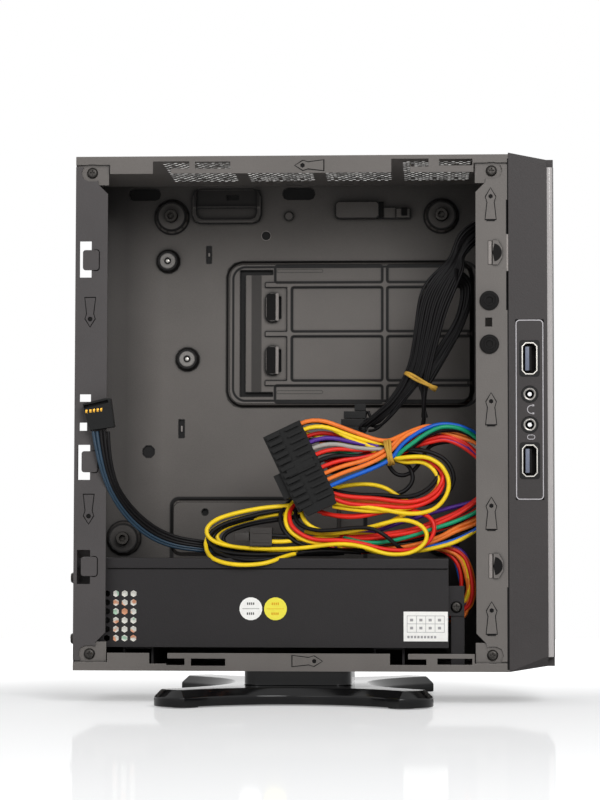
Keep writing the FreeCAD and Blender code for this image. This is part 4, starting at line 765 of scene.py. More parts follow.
def solder_mask(name, colour):
    """A circuit board: mask over copper tracks and small bright pads."""
    material, tree, principled, place = shader(name)
    cells = tree.nodes.new("ShaderNodeTexVoronoi")
    cells.inputs["Scale"].default_value = 260.0
    cells.distance = "CHEBYCHEV"
    tree.links.new(place, cells.inputs["Vector"])
    pads = mapped(tree, cells.outputs["Distance"], 1.0, 0.0, 0.1, 0.14)
    tracks = noise(tree, place, 420.0, 0.0)
    base = ramp(tree, tracks, ((0.46, colour), (0.5, scaled(colour, 1.6))))
    base = mixed(tree, pads, base, paint("b7b2a4"))
    surface(tree, principled, base, mapped(tree, pads, 0.35, 0.22, 0.0, 1.0))
    bumped(tree, principled, ((pads, 1.0), (tracks, 0.4)), 0.0001)
    return material


def sticker_paper(name, colour):
    """Coated label paper with a faint fibre."""
    material, tree, principled, place = shader(name)
    fibre = noise(tree, place, 700.0, 4.0)
    base = ramp(tree, fibre, ((0.3, scaled(colour, 0.94)), (0.7, colour)))
    surface(tree, principled, base, mapped(tree, fibre, 0.42, 0.56))
    bumped(tree, principled, ((fibre, 1.0),), 0.00002)
    return material


def ink(name, colour):
    """Printed ink, a little uneven."""
    material, tree, principled, place = shader(name)
    spots = noise(tree, place, 3000.0, 2.0)
    base = ramp(tree, spots, ((0.3, colour), (0.75, scaled(colour, 1.6))))
    tree.links.new(base, principled.inputs["Base Color"])
    principled.inputs["Roughness"].default_value = 0.6
    principled.inputs["Specular IOR Level"].default_value = 0.1
    return material


SHELF = {}


def finish(key):
    """The material of that name, made the first time it is asked for."""
    if key in SHELF:
        return SHELF[key]
    tones = bpy.context.scene.case_paint
    wires = bpy.context.scene.wire_paint
    makers = {
        "sheet": lambda: powder_coat("case powder coat", tuple(tones.sheet)),
        # Painted shade: a darker copy of the case coat for the rear sheet
        "rear sheet": lambda: powder_coat("rear powder coat", tuple(tones.rear)),
        "pressed sheet": lambda: powder_coat("pressed powder coat", tuple(tones.sheet), 0.0018, PRESS_RADIUS,
                                             tuple(tones.press_shade_line)),
        "cover sheet": lambda: cover_coat("cover powder coat", scaled(tuple(tones.sheet), 0.8)),
        # Painted shade: dark plates round reliefs, under lips and along seams, and the dark gap beside the
        # bezel
        "gap": lambda: ink("dark gap", paint("0b0a0a")),
        # Painted highlight: pale strips and rims where cut edges catch the light
        "pale edge": lambda: ink("worn pale edge", paint("7d7875")),
        "vent edge": lambda: glowing_vent_edge("bare vent edge", paint("bdbcba")),
        "glow": lambda: glowing_psu_lining("pale lining", paint("dcdad2")),
        # Painted highlight: a lighter coat on the sheets' rounded edges
        "sheet edge": lambda: powder_coat("rubbed coat edge", tuple(tones.edge), 0),
        "bezel": lambda: moulded("bezel plastic", tuple(tones.bezel), 0.44, 1500.0, 0.00005),
        "port plate": lambda: moulded("port plate plastic", scaled(tuple(tones.bezel), 0.9), 0.38),
        "fascia": lambda: gloss_black("fascia gloss", tuple(tones.fascia), tuple(tones.fascia_side_reflection)),
        "supply": lambda: powder_coat("supply paint", tuple(tones.supply)),
        # Painted highlight: a lighter copy of the supply paint on its rounded edges
        "supply edge": lambda: powder_coat("supply paint edge", scaled(tuple(tones.supply), 1.8), 0),
        "stand": lambda: gloss_black("stand gloss", tuple(tones.stand)),
        "nylon": lambda: moulded("plug nylon", tuple(tones.nylon), 0.4, 900.0, 0.00003),
        "grey nylon": lambda: moulded("grey plug nylon", tuple(tones.grey_nylon), 0.45, 1100.0, 0.00008),
        "rubber": lambda: rubbery("black rubber", tuple(tones.rubber)),
        "band": lambda: rubbery("tan rubber", tuple(tones.band), 0.5),
        "board": lambda: solder_mask("circuit board", tuple(tones.board)),
        "nickel": lambda: plated("nickel plate", tuple(tones.nickel)),
        "gold": lambda: plated("gold contact", paint("d9a441"), 0.2),
        "screw": lambda: plated("black screw steel", tuple(tones.screw), 0.34),
        "bright screw": lambda: plated("bright screw steel", paint("8f8c88"), 0.26),
        "ferrite": lambda: moulded("ferrite and tape", paint("4a4238"), 0.55, 700.0, 0.0001),
        "can": lambda: moulded("capacitor sleeve", paint("20242b"), 0.3, 900.0),
        "aluminium": lambda: plated("finned aluminium", paint("a9abad"), 0.38),
        "fan": lambda: moulded("fan plastic", paint("191919"), 0.36, 900.0),
        "inlet": lambda: moulded("inlet plastic", paint("141414"), 0.34, 900.0),
        "jack": lambda: moulded("jack plastic", paint("111111"), 0.3, 900.0),
        "lens": lambda: moulded("smoky lens", paint("8d9aa0"), 0.12, 400.0, 0.00001),
        "button": lambda: moulded("button plastic", paint("242322"), 0.25, 900.0, 0.00002),
        "white sticker": lambda: sticker_paper("white sticker", paint("f1f0ec")),
        "yellow sticker": lambda: sticker_paper("yellow sticker", paint("ebdf3b")),
        # Dark ink for the sticker's print, also used as painted shade round the wall's slots
        "dark ink": lambda: ink("dark ink", paint("4a4946")),
        # A pale face for the inserts' rings
        "insert face": lambda: moulded("worn insert face", paint("85827f"), 0.5, 1400.0),
        "label ink": lambda: ink("label ink", paint("8c8c8c")),
        "sign ink": lambda: ink("sign ink", paint("a09da0")),
        "white enamel": lambda: ink("white enamel", paint("f0f0f0")),
        "tongue": lambda: moulded("port tongue", paint("6a7080"), 0.3, 900.0),
        "orange ink": lambda: ink("orange ink", paint("c08a1c")),
    }
    if key in makers:
        SHELF[key] = makers[key]()
    else:
        SHELF[key] = wire_jacket("wire " + key, tuple(getattr(wires, key)))
    return SHELF[key]


PRESS_RADIUS = 0.00075
BOARD_SEATS = ((12.16, 60.3), (167.1, 60.3), (35.02, 217.78), (167.1, 217.78))
INSERT_SEATS = ((33.32, 195.9), (43.02, 147.7))
SEAT_FACE = 41.0
DRIVE_ZONE = (62.6, 185.5, 124.7, 195.3)
DRIVE_CELL_SPANS = ((94.2, 138.3), (140.7, 181.6))
DRIVE_CELL_ROWS = ((126.4, 134.7), (137.1, 158.7), (161.1, 182.7), (185.1, 193.4))
LONG_CELL_START = 86.0


def seat_shade_rings():
    """Painted shade rings at the board seats and at the insert seats: centre, radius and width."""
    rings = [(at(x, 0.0, z), radius * MM, width * MM) for x, z in BOARD_SEATS
             for radius, width in ((8.5, 0.8), (6.8, 1.1))]
    return rings + [(at(x, 0.0, z), radius * MM, width * MM) for x, z in INSERT_SEATS
                    for radius, width in ((4.8, 2.0), (1.3, 1.4))]


def field(x0, x1, z0, z1):
    """The middle and the half sizes of a rectangle on the wall, in metres."""
    return at((x0 + x1) / 2, 0.0, (z0 + z1) / 2), (x1 - x0) / 2 * MM, (z1 - z0) / 2 * MM


def press_shades():
    """Painted shade inside the hand recess, on the bend beside the long slot and along the rear."""
    shades = ((45.6, 78.4, 222.6, 231.0, 0.8, 0.3), (45.6, 78.4, 215.4, 221.6, 0.45, 0.3),
              (74.4, 79.4, 131.4, 189.6, 0.72, 0.3), (-20.0, 22.0, 40.0, 240.0, 0.62, 9.0))
    return [(*field(*span), dark, soft * MM) for *span, dark, soft in shades]


def press_shade_outlines():
    """Painted shade lines round the drive zone, its cells and the platform: spans, corner and line width."""
    cells = [(*span, *row, 1.2, 1.4) for span in DRIVE_CELL_SPANS for row in DRIVE_CELL_ROWS]
    for number in (0, 3):
        cells[number] = (LONG_CELL_START, *cells[number][1:])
    x0, x1, z0, z1 = DRIVE_ZONE
    cells += [(x0, x1, z0, z1, 8.0, 1.2), (x0 + 2.9, x1 - 2.9, z0 + 2.6, z1 - 2.6, 6.0, 1.2),
              (35.6, 130.0, 30.0, 79.6, 3.4, 2.1)]
    return [(*field(*span), corner * MM, width * MM) for *span, corner, width in cells]


def joined(name, parts, key, stands_for=()):
    """Pieces of mesh code as one object, with the finish of that name."""
    return put(name, merged(parts, name), finish(key), stands_for=stands_for)


# Wires

def route_curve(name, points, diameter, material):
    """One wire along given points of the case, in mm, as a smooth curve."""
    data = bpy.data.curves.new(name, "CURVE")
    data.dimensions = "3D"
    data.resolution_u = 5
    data.bevel_depth = diameter / 2
    data.bevel_resolution = 2
    data.use_fill_caps = True
    spline = data.splines.new("NURBS")
    spline.points.add(len(points) - 1)
    for slot, point in zip(spline.points, points):
        slot.co = (*at(*point), 1.0)
    spline.order_u = 3
    spline.use_endpoint_u = True
    return put(name, data, material)


def run_length(obj):
    """The length of a wire's middle line, in metres."""
    line = obj.copy()
    line.data = obj.data.copy()
    line.data.bevel_depth = 0.0
    bpy.context.scene.collection.objects.link(line)
    mesh = evaluated(line)
    spots = [line.matrix_world @ v.co for v in mesh.vertices]
    bpy.data.objects.remove(line)
    bpy.data.meshes.remove(mesh)
    return sum((b - a).length for a, b in zip(spots, spots[1:]))


def wire(name, colour, points, nodes, diameter=None, declared=True):
    """A wire that stands for the plain solids of its bundle."""
    thick = diameter or bpy.context.scene.case_sizes.wire_diameter
    obj = route_curve(name, points, thick, finish(colour))
    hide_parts(*nodes)
    if declared:
        run_length(obj)
    return obj


def strayed(points, rng, amount, keep=1):
    """The same route with every inner point moved a little, as wires of one bundle lie."""
    moved = []
    for index, point in enumerate(points):
        if index < keep or index >= len(points) - keep:
            moved.append(point)
            continue
        moved.append(tuple(value + rng.uniform(-amount, amount) for value in point))
    return moved


def shifted(points, dx=0.0, dy=0.0, dz=0.0):
    return [(x + dx, y + dy, z + dz) for x, y, z in points]


# The plug's wires leave the supply's end, run left under the loops, turn back and climb behind the flange
PLUG_ANGLE = math.radians(64.5)
PLUG_CORNER = (101.6, 71.6)
PLUG_LENGTH = 38.0
PLUG_REACH = 18.5
PLUG_THICKNESS = 11.0
PLUG_COLUMNS = 12

RISE = [(170.3, -20.5, 25.5), (174.0, -20.8, 26.0), (177.4, -21.0, 29.5), (178.4, -21.0, 37.0),
        (177.4, -21.0, 46.0), (174.2, -20.5, 53.0), (166.0, -20.5, 56.6)]
UNDER = [(153.0, -20.5, 56.0), (138.0, -20.8, 55.2), (124.0, -21.2, 54.6)]
TURN_BACK = [(114.5, -22.0, 55.4), (112.6, -23.6, 59.2), (119.0, -25.2, 61.8)]

RIGHT_RUNS = {
    "red high": [(130.0, -27.0, 60.5), (140.5, -28.0, 61.5), (153.5, -28.0, 63.5), (163.0, -28.0, 67.0),
                 (172.0, -28.0, 71.0), (178.5, -28.0, 74.5), (184.0, -27.0, 79.5)],
    "red": [(127.0, -26.0, 59.0), (140.5, -26.0, 60.0), (153.0, -26.0, 62.0), (163.5, -26.0, 65.0),
            (173.5, -26.0, 69.5), (184.0, -25.0, 74.5)],
    "red low": [(130.5, -25.0, 57.5), (146.0, -25.0, 59.0), (158.5, -25.0, 62.0), (170.5, -25.0, 65.5),
                (184.0, -24.0, 71.0)],
    "green": [(128.0, -28.0, 56.5), (141.0, -29.0, 56.5), (151.0, -29.0, 58.5), (163.5, -29.0, 63.0),
              (173.0, -29.0, 66.0), (184.0, -28.0, 71.5)],
    "orange": [(135.0, -25.0, 54.0), (152.5, -25.0, 55.4), (166.5, -26.0, 60.0), (173.5, -26.0, 64.0),
               (184.0, -25.0, 68.0)],
    "yellow": [(135.0, -26.5, 53.0), (150.0, -27.0, 53.5), (157.5, -28.0, 55.0), (166.5, -28.0, 57.0),
               (174.5, -28.0, 59.5), (184.0, -27.0, 64.5)],
    "purple": [(132.5, -24.0, 62.0), (140.5, -24.0, 64.5), (146.0, -24.0, 66.0), (157.0, -22.5, 70.0),
               (167.5, -22.0, 73.0), (177.0, -22.0, 75.0), (184.0, -22.0, 77.0)],
    "black": [(129.5, -23.0, 56.0), (146.0, -23.0, 57.0), (161.5, -23.0, 59.5), (175.0, -23.0, 63.0),
              (184.0, -23.0, 66.5)],
}

TOP_RUNS = {
    "orange": [(183.0, -25.0, 105.5), (176.0, -25.5, 107.5), (169.0, -26.0, 109.5), (161.5, -28.0, 111.5),
               (154.0, -30.0, 109.5), (148.5, -30.0, 106.8)],
    "blue": [(184.0, -26.0, 107.5), (177.0, -28.0, 111.3), (171.5, -29.0, 112.8), (166.0, -30.0, 113.0),
             (159.5, -31.0, 111.2), (153.0, -31.0, 106.8), (148.0, -31.0, 102.8)],
    "green": [(184.0, -28.0, 107.0), (177.0, -30.0, 111.3), (171.5, -31.5, 112.2), (165.5, -32.5, 111.6),
              (159.0, -32.5, 108.6), (153.5, -32.5, 104.8), (148.5, -32.0, 101.0)],
    "black": [(184.5, -26.0, 104.0), (179.0, -28.0, 108.0), (174.0, -29.0, 109.8), (168.0, -29.5, 110.0),
              (161.5, -30.0, 107.6), (155.5, -30.5, 103.6), (149.5, -30.0, 99.4)],
    "red": [(184.0, -25.0, 97.6), (176.5, -26.0, 103.6), (169.0, -26.5, 106.4), (161.0, -26.5, 105.4),
            (153.5, -26.5, 102.8), (148.0, -26.5, 99.8)],
    "red high": [(184.0, -24.0, 101.5), (177.0, -24.5, 106.6), (169.0, -24.5, 108.4), (161.0, -24.5, 107.4),
                 (154.5, -24.5, 104.8), (148.0, -24.5, 101.6)],
}

# Each wire of the plug: column from its low end, row, colour, right run, top run, place in the neck
PLUG_WIRES = [
    (11, 0, "orange", "orange", "orange", 4.0, -28.5),
    (10, 0, "yellow", "yellow", "red high", 3.2, -27.0),
    (8, 0, "purple", "purple", "red", 2.2, -26.5),
    (7, 0, "grey", "black", "red high", 1.2, -28.0),
    (6, 0, "red", "red high", "red", 1.6, -25.5),
    (5, 0, "black", "black", "black", 0.2, -26.5),
    (4, 0, "red", "red", "red high", 0.8, -27.0),
    (3, 0, "orange", "orange", "orange", 1.0, -30.2),
    (2, 0, "orange", "orange", "orange", -0.9, -30.6),
    (1, 0, "blue", "yellow", "blue", -3.6, -30.6),
    (11, 1, "black", "black", "red high", 3.6, -24.0),
    (10, 1, "red", "red high", "red high", 2.4, -23.0),
    (9, 1, "red", "red low", "red", 2.8, -24.6),
    (8, 1, "black", "black", "black", 0.8, -23.4),
    (6, 1, "green", "green", "green", -4.4, -28.0),
    (5, 1, "black", "black", "black", -2.4, -25.2),
    (4, 1, "red", "red low", "red", -0.6, -24.2),
    (3, 1, "black", "red low", "black", -4.2, -24.8),
]

FRONT_COLOURS = ("orange", "yellow", "purple")
FRONT_CELLS = ((4, 0), (10, 1))

# Loops beside and under the plug: colour and points
LOOPS = {
    "loop_yellow": ("yellow", [
        (117.6, -29.5, 76.4), (124.0, -30.5, 75.0), (131.5, -31.5, 74.5), (140.5, -32.0, 73.0),
        (151.0, -32.2, 71.0), (159.0, -32.2, 71.5), (165.0, -32.2, 74.0), (169.6, -32.2, 80.0),
        (170.4, -32.2, 86.5), (167.4, -32.2, 92.5), (164.0, -32.0, 95.2), (159.5, -31.8, 97.2),
        (152.5, -31.5, 97.2), (146.5, -30.0, 96.4), (141.0, -28.0, 97.6), (133.0, -27.2, 101.0),
        (124.0, -27.0, 103.6), (112.5, -26.6, 106.2), (104.6, -26.6, 108.0)]),
    "loop_yellow_inner": ("yellow", [
        (116.8, -31.4, 110.0), (126.0, -30.0, 104.4), (134.0, -28.5, 102.6), (141.0, -27.0, 98.4),
        (149.5, -27.6, 94.4), (157.0, -28.6, 95.4), (162.5, -29.0, 92.6), (166.0, -29.4, 86.6),
        (165.0, -29.6, 80.4), (159.5, -30.0, 76.0), (151.0, -30.2, 73.4), (140.5, -30.4, 72.2),
        (128.0, -29.6, 72.6), (117.0, -27.0, 74.6)]),
    "loop_red": ("red", [
        (117.4, -31.4, 78.2), (121.5, -31.6, 76.4), (127.5, -31.6, 75.2), (140.5, -31.2, 74.8),
        (151.0, -30.8, 73.6), (160.0, -30.4, 76.0), (166.0, -30.0, 80.4), (168.2, -29.4, 86.8),
        (164.8, -28.4, 93.2), (157.5, -27.6, 96.0), (149.0, -27.0, 96.4), (141.5, -26.4, 98.4),
        (134.0, -25.8, 98.8), (124.0, -26.0, 96.4), (113.0, -26.6, 95.6)]),
    "loop_red_upper": ("red", [
        (116.6, -31.4, 80.6), (121.0, -31.8, 79.4), (127.5, -31.8, 78.6), (137.5, -31.6, 78.2),
        (147.0, -31.4, 76.6), (155.5, -31.0, 76.6), (163.0, -31.0, 79.8), (167.0, -31.0, 85.0),
        (167.6, -29.4, 90.0), (165.4, -27.0, 94.0), (158.0, -25.4, 97.4), (147.5, -25.0, 97.6),
        (140.5, -25.0, 100.0), (132.0, -25.2, 99.6), (121.0, -26.0, 93.0), (114.4, -26.6, 92.4)]),
    "loop_orange_inner": ("orange", [
        (117.2, -26.6, 79.0), (122.0, -28.0, 77.0), (129.5, -28.4, 77.2), (140.5, -29.0, 76.2),
        (150.0, -29.0, 75.0), (158.5, -29.0, 77.4), (164.2, -29.0, 81.6), (166.0, -28.0, 86.6),
        (164.0, -26.0, 91.8), (158.5, -24.4, 95.0), (150.0, -24.0, 96.2), (142.0, -24.0, 98.0),
        (134.0, -24.4, 102.0), (123.0, -25.4, 104.6), (110.8, -26.6, 103.2)]),
    "loop_black_outer": ("black", [
        (118.0, -26.6, 77.4), (125.0, -26.2, 76.2), (134.0, -26.0, 75.4), (145.5, -26.2, 74.8),
        (156.0, -26.8, 74.8), (164.5, -28.2, 77.0), (170.8, -30.0, 81.6), (173.0, -30.4, 88.0),
        (169.4, -30.6, 95.8), (161.5, -30.8, 99.6), (153.5, -30.2, 100.8), (146.5, -29.0, 99.8),
        (140.5, -27.6, 101.4), (131.0, -27.0, 104.0), (119.0, -26.8, 104.6), (106.0, -26.6, 105.0)]),
    "loop_black_inner": ("black", [
        (116.0, -26.6, 82.2), (125.0, -28.6, 79.8), (140.5, -29.2, 79.8), (151.0, -29.8, 78.4),
        (159.0, -30.0, 81.0), (164.8, -29.8, 86.6), (165.0, -28.6, 90.8), (161.8, -26.6, 95.2),
        (155.0, -24.8, 98.8), (146.0, -24.4, 98.6), (140.5, -24.4, 101.0), (131.0, -24.8, 97.4),
        (119.0, -25.6, 89.8), (115.2, -26.6, 90.4)]),
    "loop_black_small": ("black", [
        (141.0, -23.0, 97.4), (146.0, -22.0, 95.6), (150.6, -21.8, 94.6), (153.2, -22.0, 91.0),
        (153.8, -22.4, 86.4), (150.6, -23.0, 82.0), (145.5, -24.0, 80.0), (136.0, -24.8, 78.8),
        (124.0, -25.2, 79.6)]),
    "loop_black_behind": ("black", [
        (141.6, -22.4, 96.0), (143.6, -21.4, 90.8), (148.5, -21.0, 88.4), (153.6, -21.0, 90.6),
        (157.0, -21.0, 95.0), (159.4, -21.4, 100.0), (163.0, -22.0, 104.0), (171.0, -22.6, 104.6)]),
    "loop_yellow_behind": ("yellow", [
        (110.0, -22.2, 81.0), (119.0, -23.4, 83.4), (127.0, -24.0, 84.8), (135.0, -24.0, 84.8),
        (141.0, -24.8, 83.2), (145.0, -24.8, 80.6), (149.6, -24.0, 77.6), (155.0, -23.0, 75.0)]),
    "fold_red": ("red", [
        (107.6, -22.2, 82.6), (101.6, -22.0, 77.6), (97.8, -25.0, 73.8), (96.8, -29.0, 70.0),
        (98.4, -32.0, 65.0), (104.0, -32.8, 60.8), (110.5, -32.8, 58.9), (121.0, -32.8, 59.3),
        (131.5, -32.8, 57.4), (140.5, -32.8, 54.8), (151.0, -32.8, 54.2), (159.6, -32.8, 56.6),
        (163.6, -32.8, 62.4), (163.2, -32.4, 67.6), (159.6, -30.6, 71.0), (152.0, -28.0, 73.2),
        (142.0, -27.2, 72.6), (130.0, -26.4, 70.4), (120.5, -26.4, 70.0), (112.0, -24.6, 71.4)]),
    "fold_yellow": ("yellow", [
        (106.0, -21.2, 84.6), (99.6, -21.6, 78.4), (95.8, -25.0, 72.8), (95.0, -29.0, 68.2),
        (97.0, -30.8, 63.2), (102.5, -31.2, 59.6), (110.5, -31.0, 57.4), (121.0, -30.4, 57.2),
        (132.0, -29.0, 56.0), (144.0, -27.4, 54.4)]),
    "fold_black": ("black", [
        (104.6, -21.0, 82.8), (97.6, -21.4, 77.6), (93.2, -25.0, 73.0), (92.6, -29.0, 67.0),
        (96.6, -30.4, 60.4), (103.4, -29.6, 56.4), (112.0, -27.6, 55.0), (124.0, -25.4, 54.4),
        (140.0, -24.0, 54.0)]),
    "fold_yellow_short": ("yellow", [
        (103.6, -22.6, 79.4), (102.4, -26.0, 74.6), (102.8, -29.6, 70.6), (105.0, -31.0, 66.6),
        (110.0, -30.4, 63.6), (117.0, -28.6, 62.6), (126.0, -27.4, 63.4), (135.0, -27.4, 64.8),
        (143.5, -27.4, 67.4), (150.0, -26.4, 71.0)]),
    "fold_black_front": ("black", [
        (100.6, -22.6, 76.4), (99.2, -27.0, 70.4), (101.4, -30.6, 66.2), (107.0, -32.0, 63.8),
        (115.0, -32.6, 63.2), (127.5, -33.2, 64.9), (135.5, -34.0, 64.6), (141.5, -34.2, 61.0),
        (146.0, -32.8, 57.0), (149.0, -29.0, 54.6), (150.0, -22.6, 54.4)]),
    "fold_red_middle": ("red", [
        (110.0, -24.0, 72.6), (116.0, -26.0, 70.6), (123.0, -28.0, 69.6), (130.0, -28.6, 69.9),
        (138.0, -28.0, 71.6), (147.0, -26.4, 74.0), (155.0, -24.6, 77.6)]),
    "long_yellow": ("yellow", [
        (99.6, -23.0, 75.4), (92.5, -25.0, 74.6), (85.0, -26.8, 74.0), (72.5, -28.0, 71.6),
        (62.6, -28.8, 68.4), (58.2, -29.4, 63.4), (61.6, -30.0, 58.4), (71.0, -30.8, 55.9),
        (85.5, -31.6, 54.8), (102.5, -32.2, 55.2), (115.5, -33.0, 57.2), (124.0, -34.0, 57.4),
        (132.0, -34.6, 56.0), (140.5, -34.9, 52.9), (147.5, -34.9, 52.4), (154.0, -34.8, 53.6),
        (159.4, -34.6, 57.6), (160.4, -34.4, 62.4), (156.8, -33.8, 66.6), (149.0, -33.0, 68.8),
        (140.5, -32.0, 66.8), (133.0, -31.0, 64.6), (122.5, -29.6, 62.6), (112.0, -27.4, 61.4),
        (104.0, -25.6, 63.0)]),
    "left_yellow": ("yellow", [
        (101.0, -22.4, 73.0), (91.0, -24.4, 72.2), (79.0, -25.4, 70.2), (68.5, -25.8, 67.6),
        (61.4, -26.2, 63.8), (58.4, -27.6, 58.6), (59.4, -32.4, 53.8), (62.6, -38.6, 50.4),
        (70.0, -40.8, 48.1), (79.0, -41.0, 47.6), (88.0, -40.2, 48.6), (95.0, -36.0, 51.6),
        (103.0, -29.6, 53.6), (113.0, -25.4, 54.4), (126.0, -23.4, 54.2)]),
    "left_yellow_back": ("yellow", [
        (102.0, -22.4, 72.0), (92.5, -23.2, 71.4), (81.0, -23.8, 69.2), (70.5, -24.0, 66.4),
        (63.4, -24.2, 62.6), (63.8, -25.0, 58.4), (71.0, -26.0, 55.8), (82.0, -26.8, 54.6),
        (96.0, -26.8, 53.8), (108.0, -25.4, 53.4)]),
    "left_black": ("black", [
        (100.0, -23.4, 73.6), (90.5, -25.4, 72.6), (77.0, -27.0, 69.6), (66.0, -27.8, 66.4),
        (59.8, -28.2, 61.8), (60.0, -29.4, 56.8), (66.0, -31.4, 53.6), (77.0, -32.4, 52.4),
        (90.0, -32.0, 52.4), (103.0, -30.6, 53.6), (116.0, -28.4, 54.6), (130.0, -25.0, 53.4)]),
    "left_black_low": ("black", [
        (99.4, -21.8, 72.2), (86.0, -23.4, 70.2), (73.0, -24.4, 67.6), (64.0, -25.0, 64.2),
        (60.6, -26.4, 58.6), (62.6, -31.0, 53.8), (70.0, -37.4, 51.2), (80.0, -39.6, 49.6),
        (90.0, -38.0, 50.4), (98.0, -33.0, 52.8), (108.0, -28.0, 53.4), (122.0, -24.6, 53.2)]),
    "left_black_back": ("black", [
        (102.6, -20.6, 70.2), (88.0, -21.4, 68.2), (74.0, -21.6, 65.4), (65.8, -21.8, 61.6),
        (66.8, -22.4, 56.6), (76.0, -22.8, 53.6), (90.0, -22.6, 52.6), (106.0, -22.4, 52.8),
        (120.0, -22.0, 53.0)]),
}


# Where the wires pass behind the front flange, and where the band gathers them
FLANGE_BEND = (188.6, 190.6, 189.0)
NECK_X = 142.5
NECK_Z = 99.6


def plug_place(along, across):
    """A place on the leaning plug: along from its low end and across from its mating face, in mm."""
    x = PLUG_CORNER[0] - along * math.cos(PLUG_ANGLE) + across * math.sin(PLUG_ANGLE)
    z = PLUG_CORNER[1] + along * math.sin(PLUG_ANGLE) + across * math.cos(PLUG_ANGLE)
    return x, z


def plug_part(near, far, *corners):
    """A flat piece on the plug between two depths, its corners given as places on the plug."""
    return flat_piece([plug_place(along, across) for along, across in corners], near, far)


def plug_cell(column, row, across):
    """The middle of a cell of the plug, at a distance from its mating face."""
    x, z = plug_place(PLUG_LENGTH / PLUG_COLUMNS * (column + 0.5), across)
    return x, PLUG_NEAR + PLUG_THICKNESS * (0.28 + 0.44 * row), z


def plug_wire_route(column, row, run, top, neck_rise, neck_y, in_front, rng):
    """From the supply's end to one cell of the plug, in front in the rise or behind."""
    lane_y = rng.uniform(-4.5, -1.6) if in_front else rng.uniform(-1.0, 4.0)
    lane_z = rng.uniform(-4.5, 4.5)
    lane_x = rng.uniform(-2.6, 3.4)
    rise = []
    for i, (x, y, z) in enumerate(RISE):
        aside = lane_x if i > 0 else 0.0
        rise.append((x + aside, y + lane_y * (1.0 if i < 5 else 0.6), z + lane_z * (1.0 if i < 3 else 0.3)))
    low = rng.uniform(-0.8, 1.6)
    under = shifted(UNDER, 0.0, lane_y * 0.4 + 1.5, low)
    reach = rng.uniform(-6.0, 6.0)
    turn_back = shifted(TURN_BACK, reach, lane_y * 0.3 + 1.0, low * 0.6)
    right = shifted(RIGHT_RUNS[run], 0.0, rng.uniform(-1.2, 1.8), rng.uniform(-1.2, 1.6))
    over = shifted(TOP_RUNS[top], 0.0, rng.uniform(-0.9, 1.4), rng.uniform(-1.4, 1.2))
    low_y, low_z = right[-1][1:]
    top_y, top_z = over[0][1:]
    start, bend, end = FLANGE_BEND
    back = [(start, low_y + 0.4, low_z + 6.0), (bend, low_y + 0.6, (low_z + top_z) / 2),
            (end, top_y + 0.4, top_z - 5.5)]
    neck = (NECK_X - neck_rise * 0.42, neck_y, NECK_Z + neck_rise)
    leaving = plug_cell(column, row, PLUG_REACH + 7.0)
    middle = tuple(0.5 * (a + b) for a, b in zip(leaving, neck))
    sag = (middle[0] + 1.0, middle[1], middle[2] - 1.2 + rng.uniform(-1.0, 1.0))
    ending = [neck, sag, leaving, plug_cell(column, row, PLUG_REACH - 0.5)]
    amount = bpy.context.scene.case_sizes.wobble / MM
    return strayed(rise + under + turn_back + right + back + over, rng, amount) + ending


class CASE_OT_main_wires(bpy.types.Operator):
    """Lays the wires from the supply's end to the large plug"""

    bl_idname = "case.main_wires"
    bl_label = "Plug wires"

    def execute(self, context):
        rng = random.Random(11)
        for column, row, colour, run, top, neck_rise, neck_y in PLUG_WIRES:
            in_front = colour in FRONT_COLOURS or (column, row) in FRONT_CELLS
            route = plug_wire_route(column, row, run, top, neck_rise, neck_y, in_front, rng)
            wire(f"plug_wire_{column:02d}_{row}_{colour}", colour, route,
                 ("main_harness", "psu_riser", "cable_loop"))
        return {"FINISHED"}


class CASE_OT_loops(bpy.types.Operator):
    """Lays the loose loops beside and under the large plug"""

    bl_idname = "case.loops"
    bl_label = "Loops"

    def execute(self, context):
        for name, (colour, points) in LOOPS.items():
            wire(name, colour, points, ("cable_loop", "left_loops"), declared=len(points) > 12)
        return {"FINISHED"}


DRIVE_ROUTE = [(12.6, -49.0, 108.0), (14.6, -50.2, 89.0), (23.8, -36.5, 70.8), (38.5, -25.5, 58.8),
               (59.5, -21.2, 55.6)]
DRIVE_FOLLOW = [(78.0, -20.0, 54.6), (100.0, -20.0, 54.4), (122.0, -20.2, 54.6)]
DRIVE_WIRES = 5
DRIVE_PITCH = 1.15


class CASE_OT_drive_lead(bpy.types.Operator):
    """Lays the flat lead of five wires from the drive plug down to the loops"""

    bl_idname = "case.drive_lead"
    bl_label = "Drive lead"

    def execute(self, context):
        rng = random.Random(5)
        for index in range(DRIVE_WIRES):
            step = (index - (DRIVE_WIRES - 1) / 2) * DRIVE_PITCH
            route = []
            for order, (x, y, z) in enumerate(DRIVE_ROUTE):
                spread = step * (1.5 if order == 0 else 1.0)
                aside = spread * (1.0 if order < 2 else 0.75)
                if order > 1:
                    y += 0.25 * abs(step)
                    z += spread * 0.9
                route.append((x + aside, y, z))
            route += [(x, y + step * 0.5, z + step * 0.3) for x, y, z in DRIVE_FOLLOW]
            colour = "slate" if index < 2 else "black"
            wire(f"drive_wire_{index}", colour, list(reversed(strayed(route, rng, 0.15, 2))), ("drive_lead",),
                 diameter=0.0016)
        return {"FINISHED"}


CPU_WIRES = (("yellow", -31.2, 60.0), ("black", -31.2, 62.8), ("yellow", -27.6, 60.0), ("black", -27.6, 62.8))


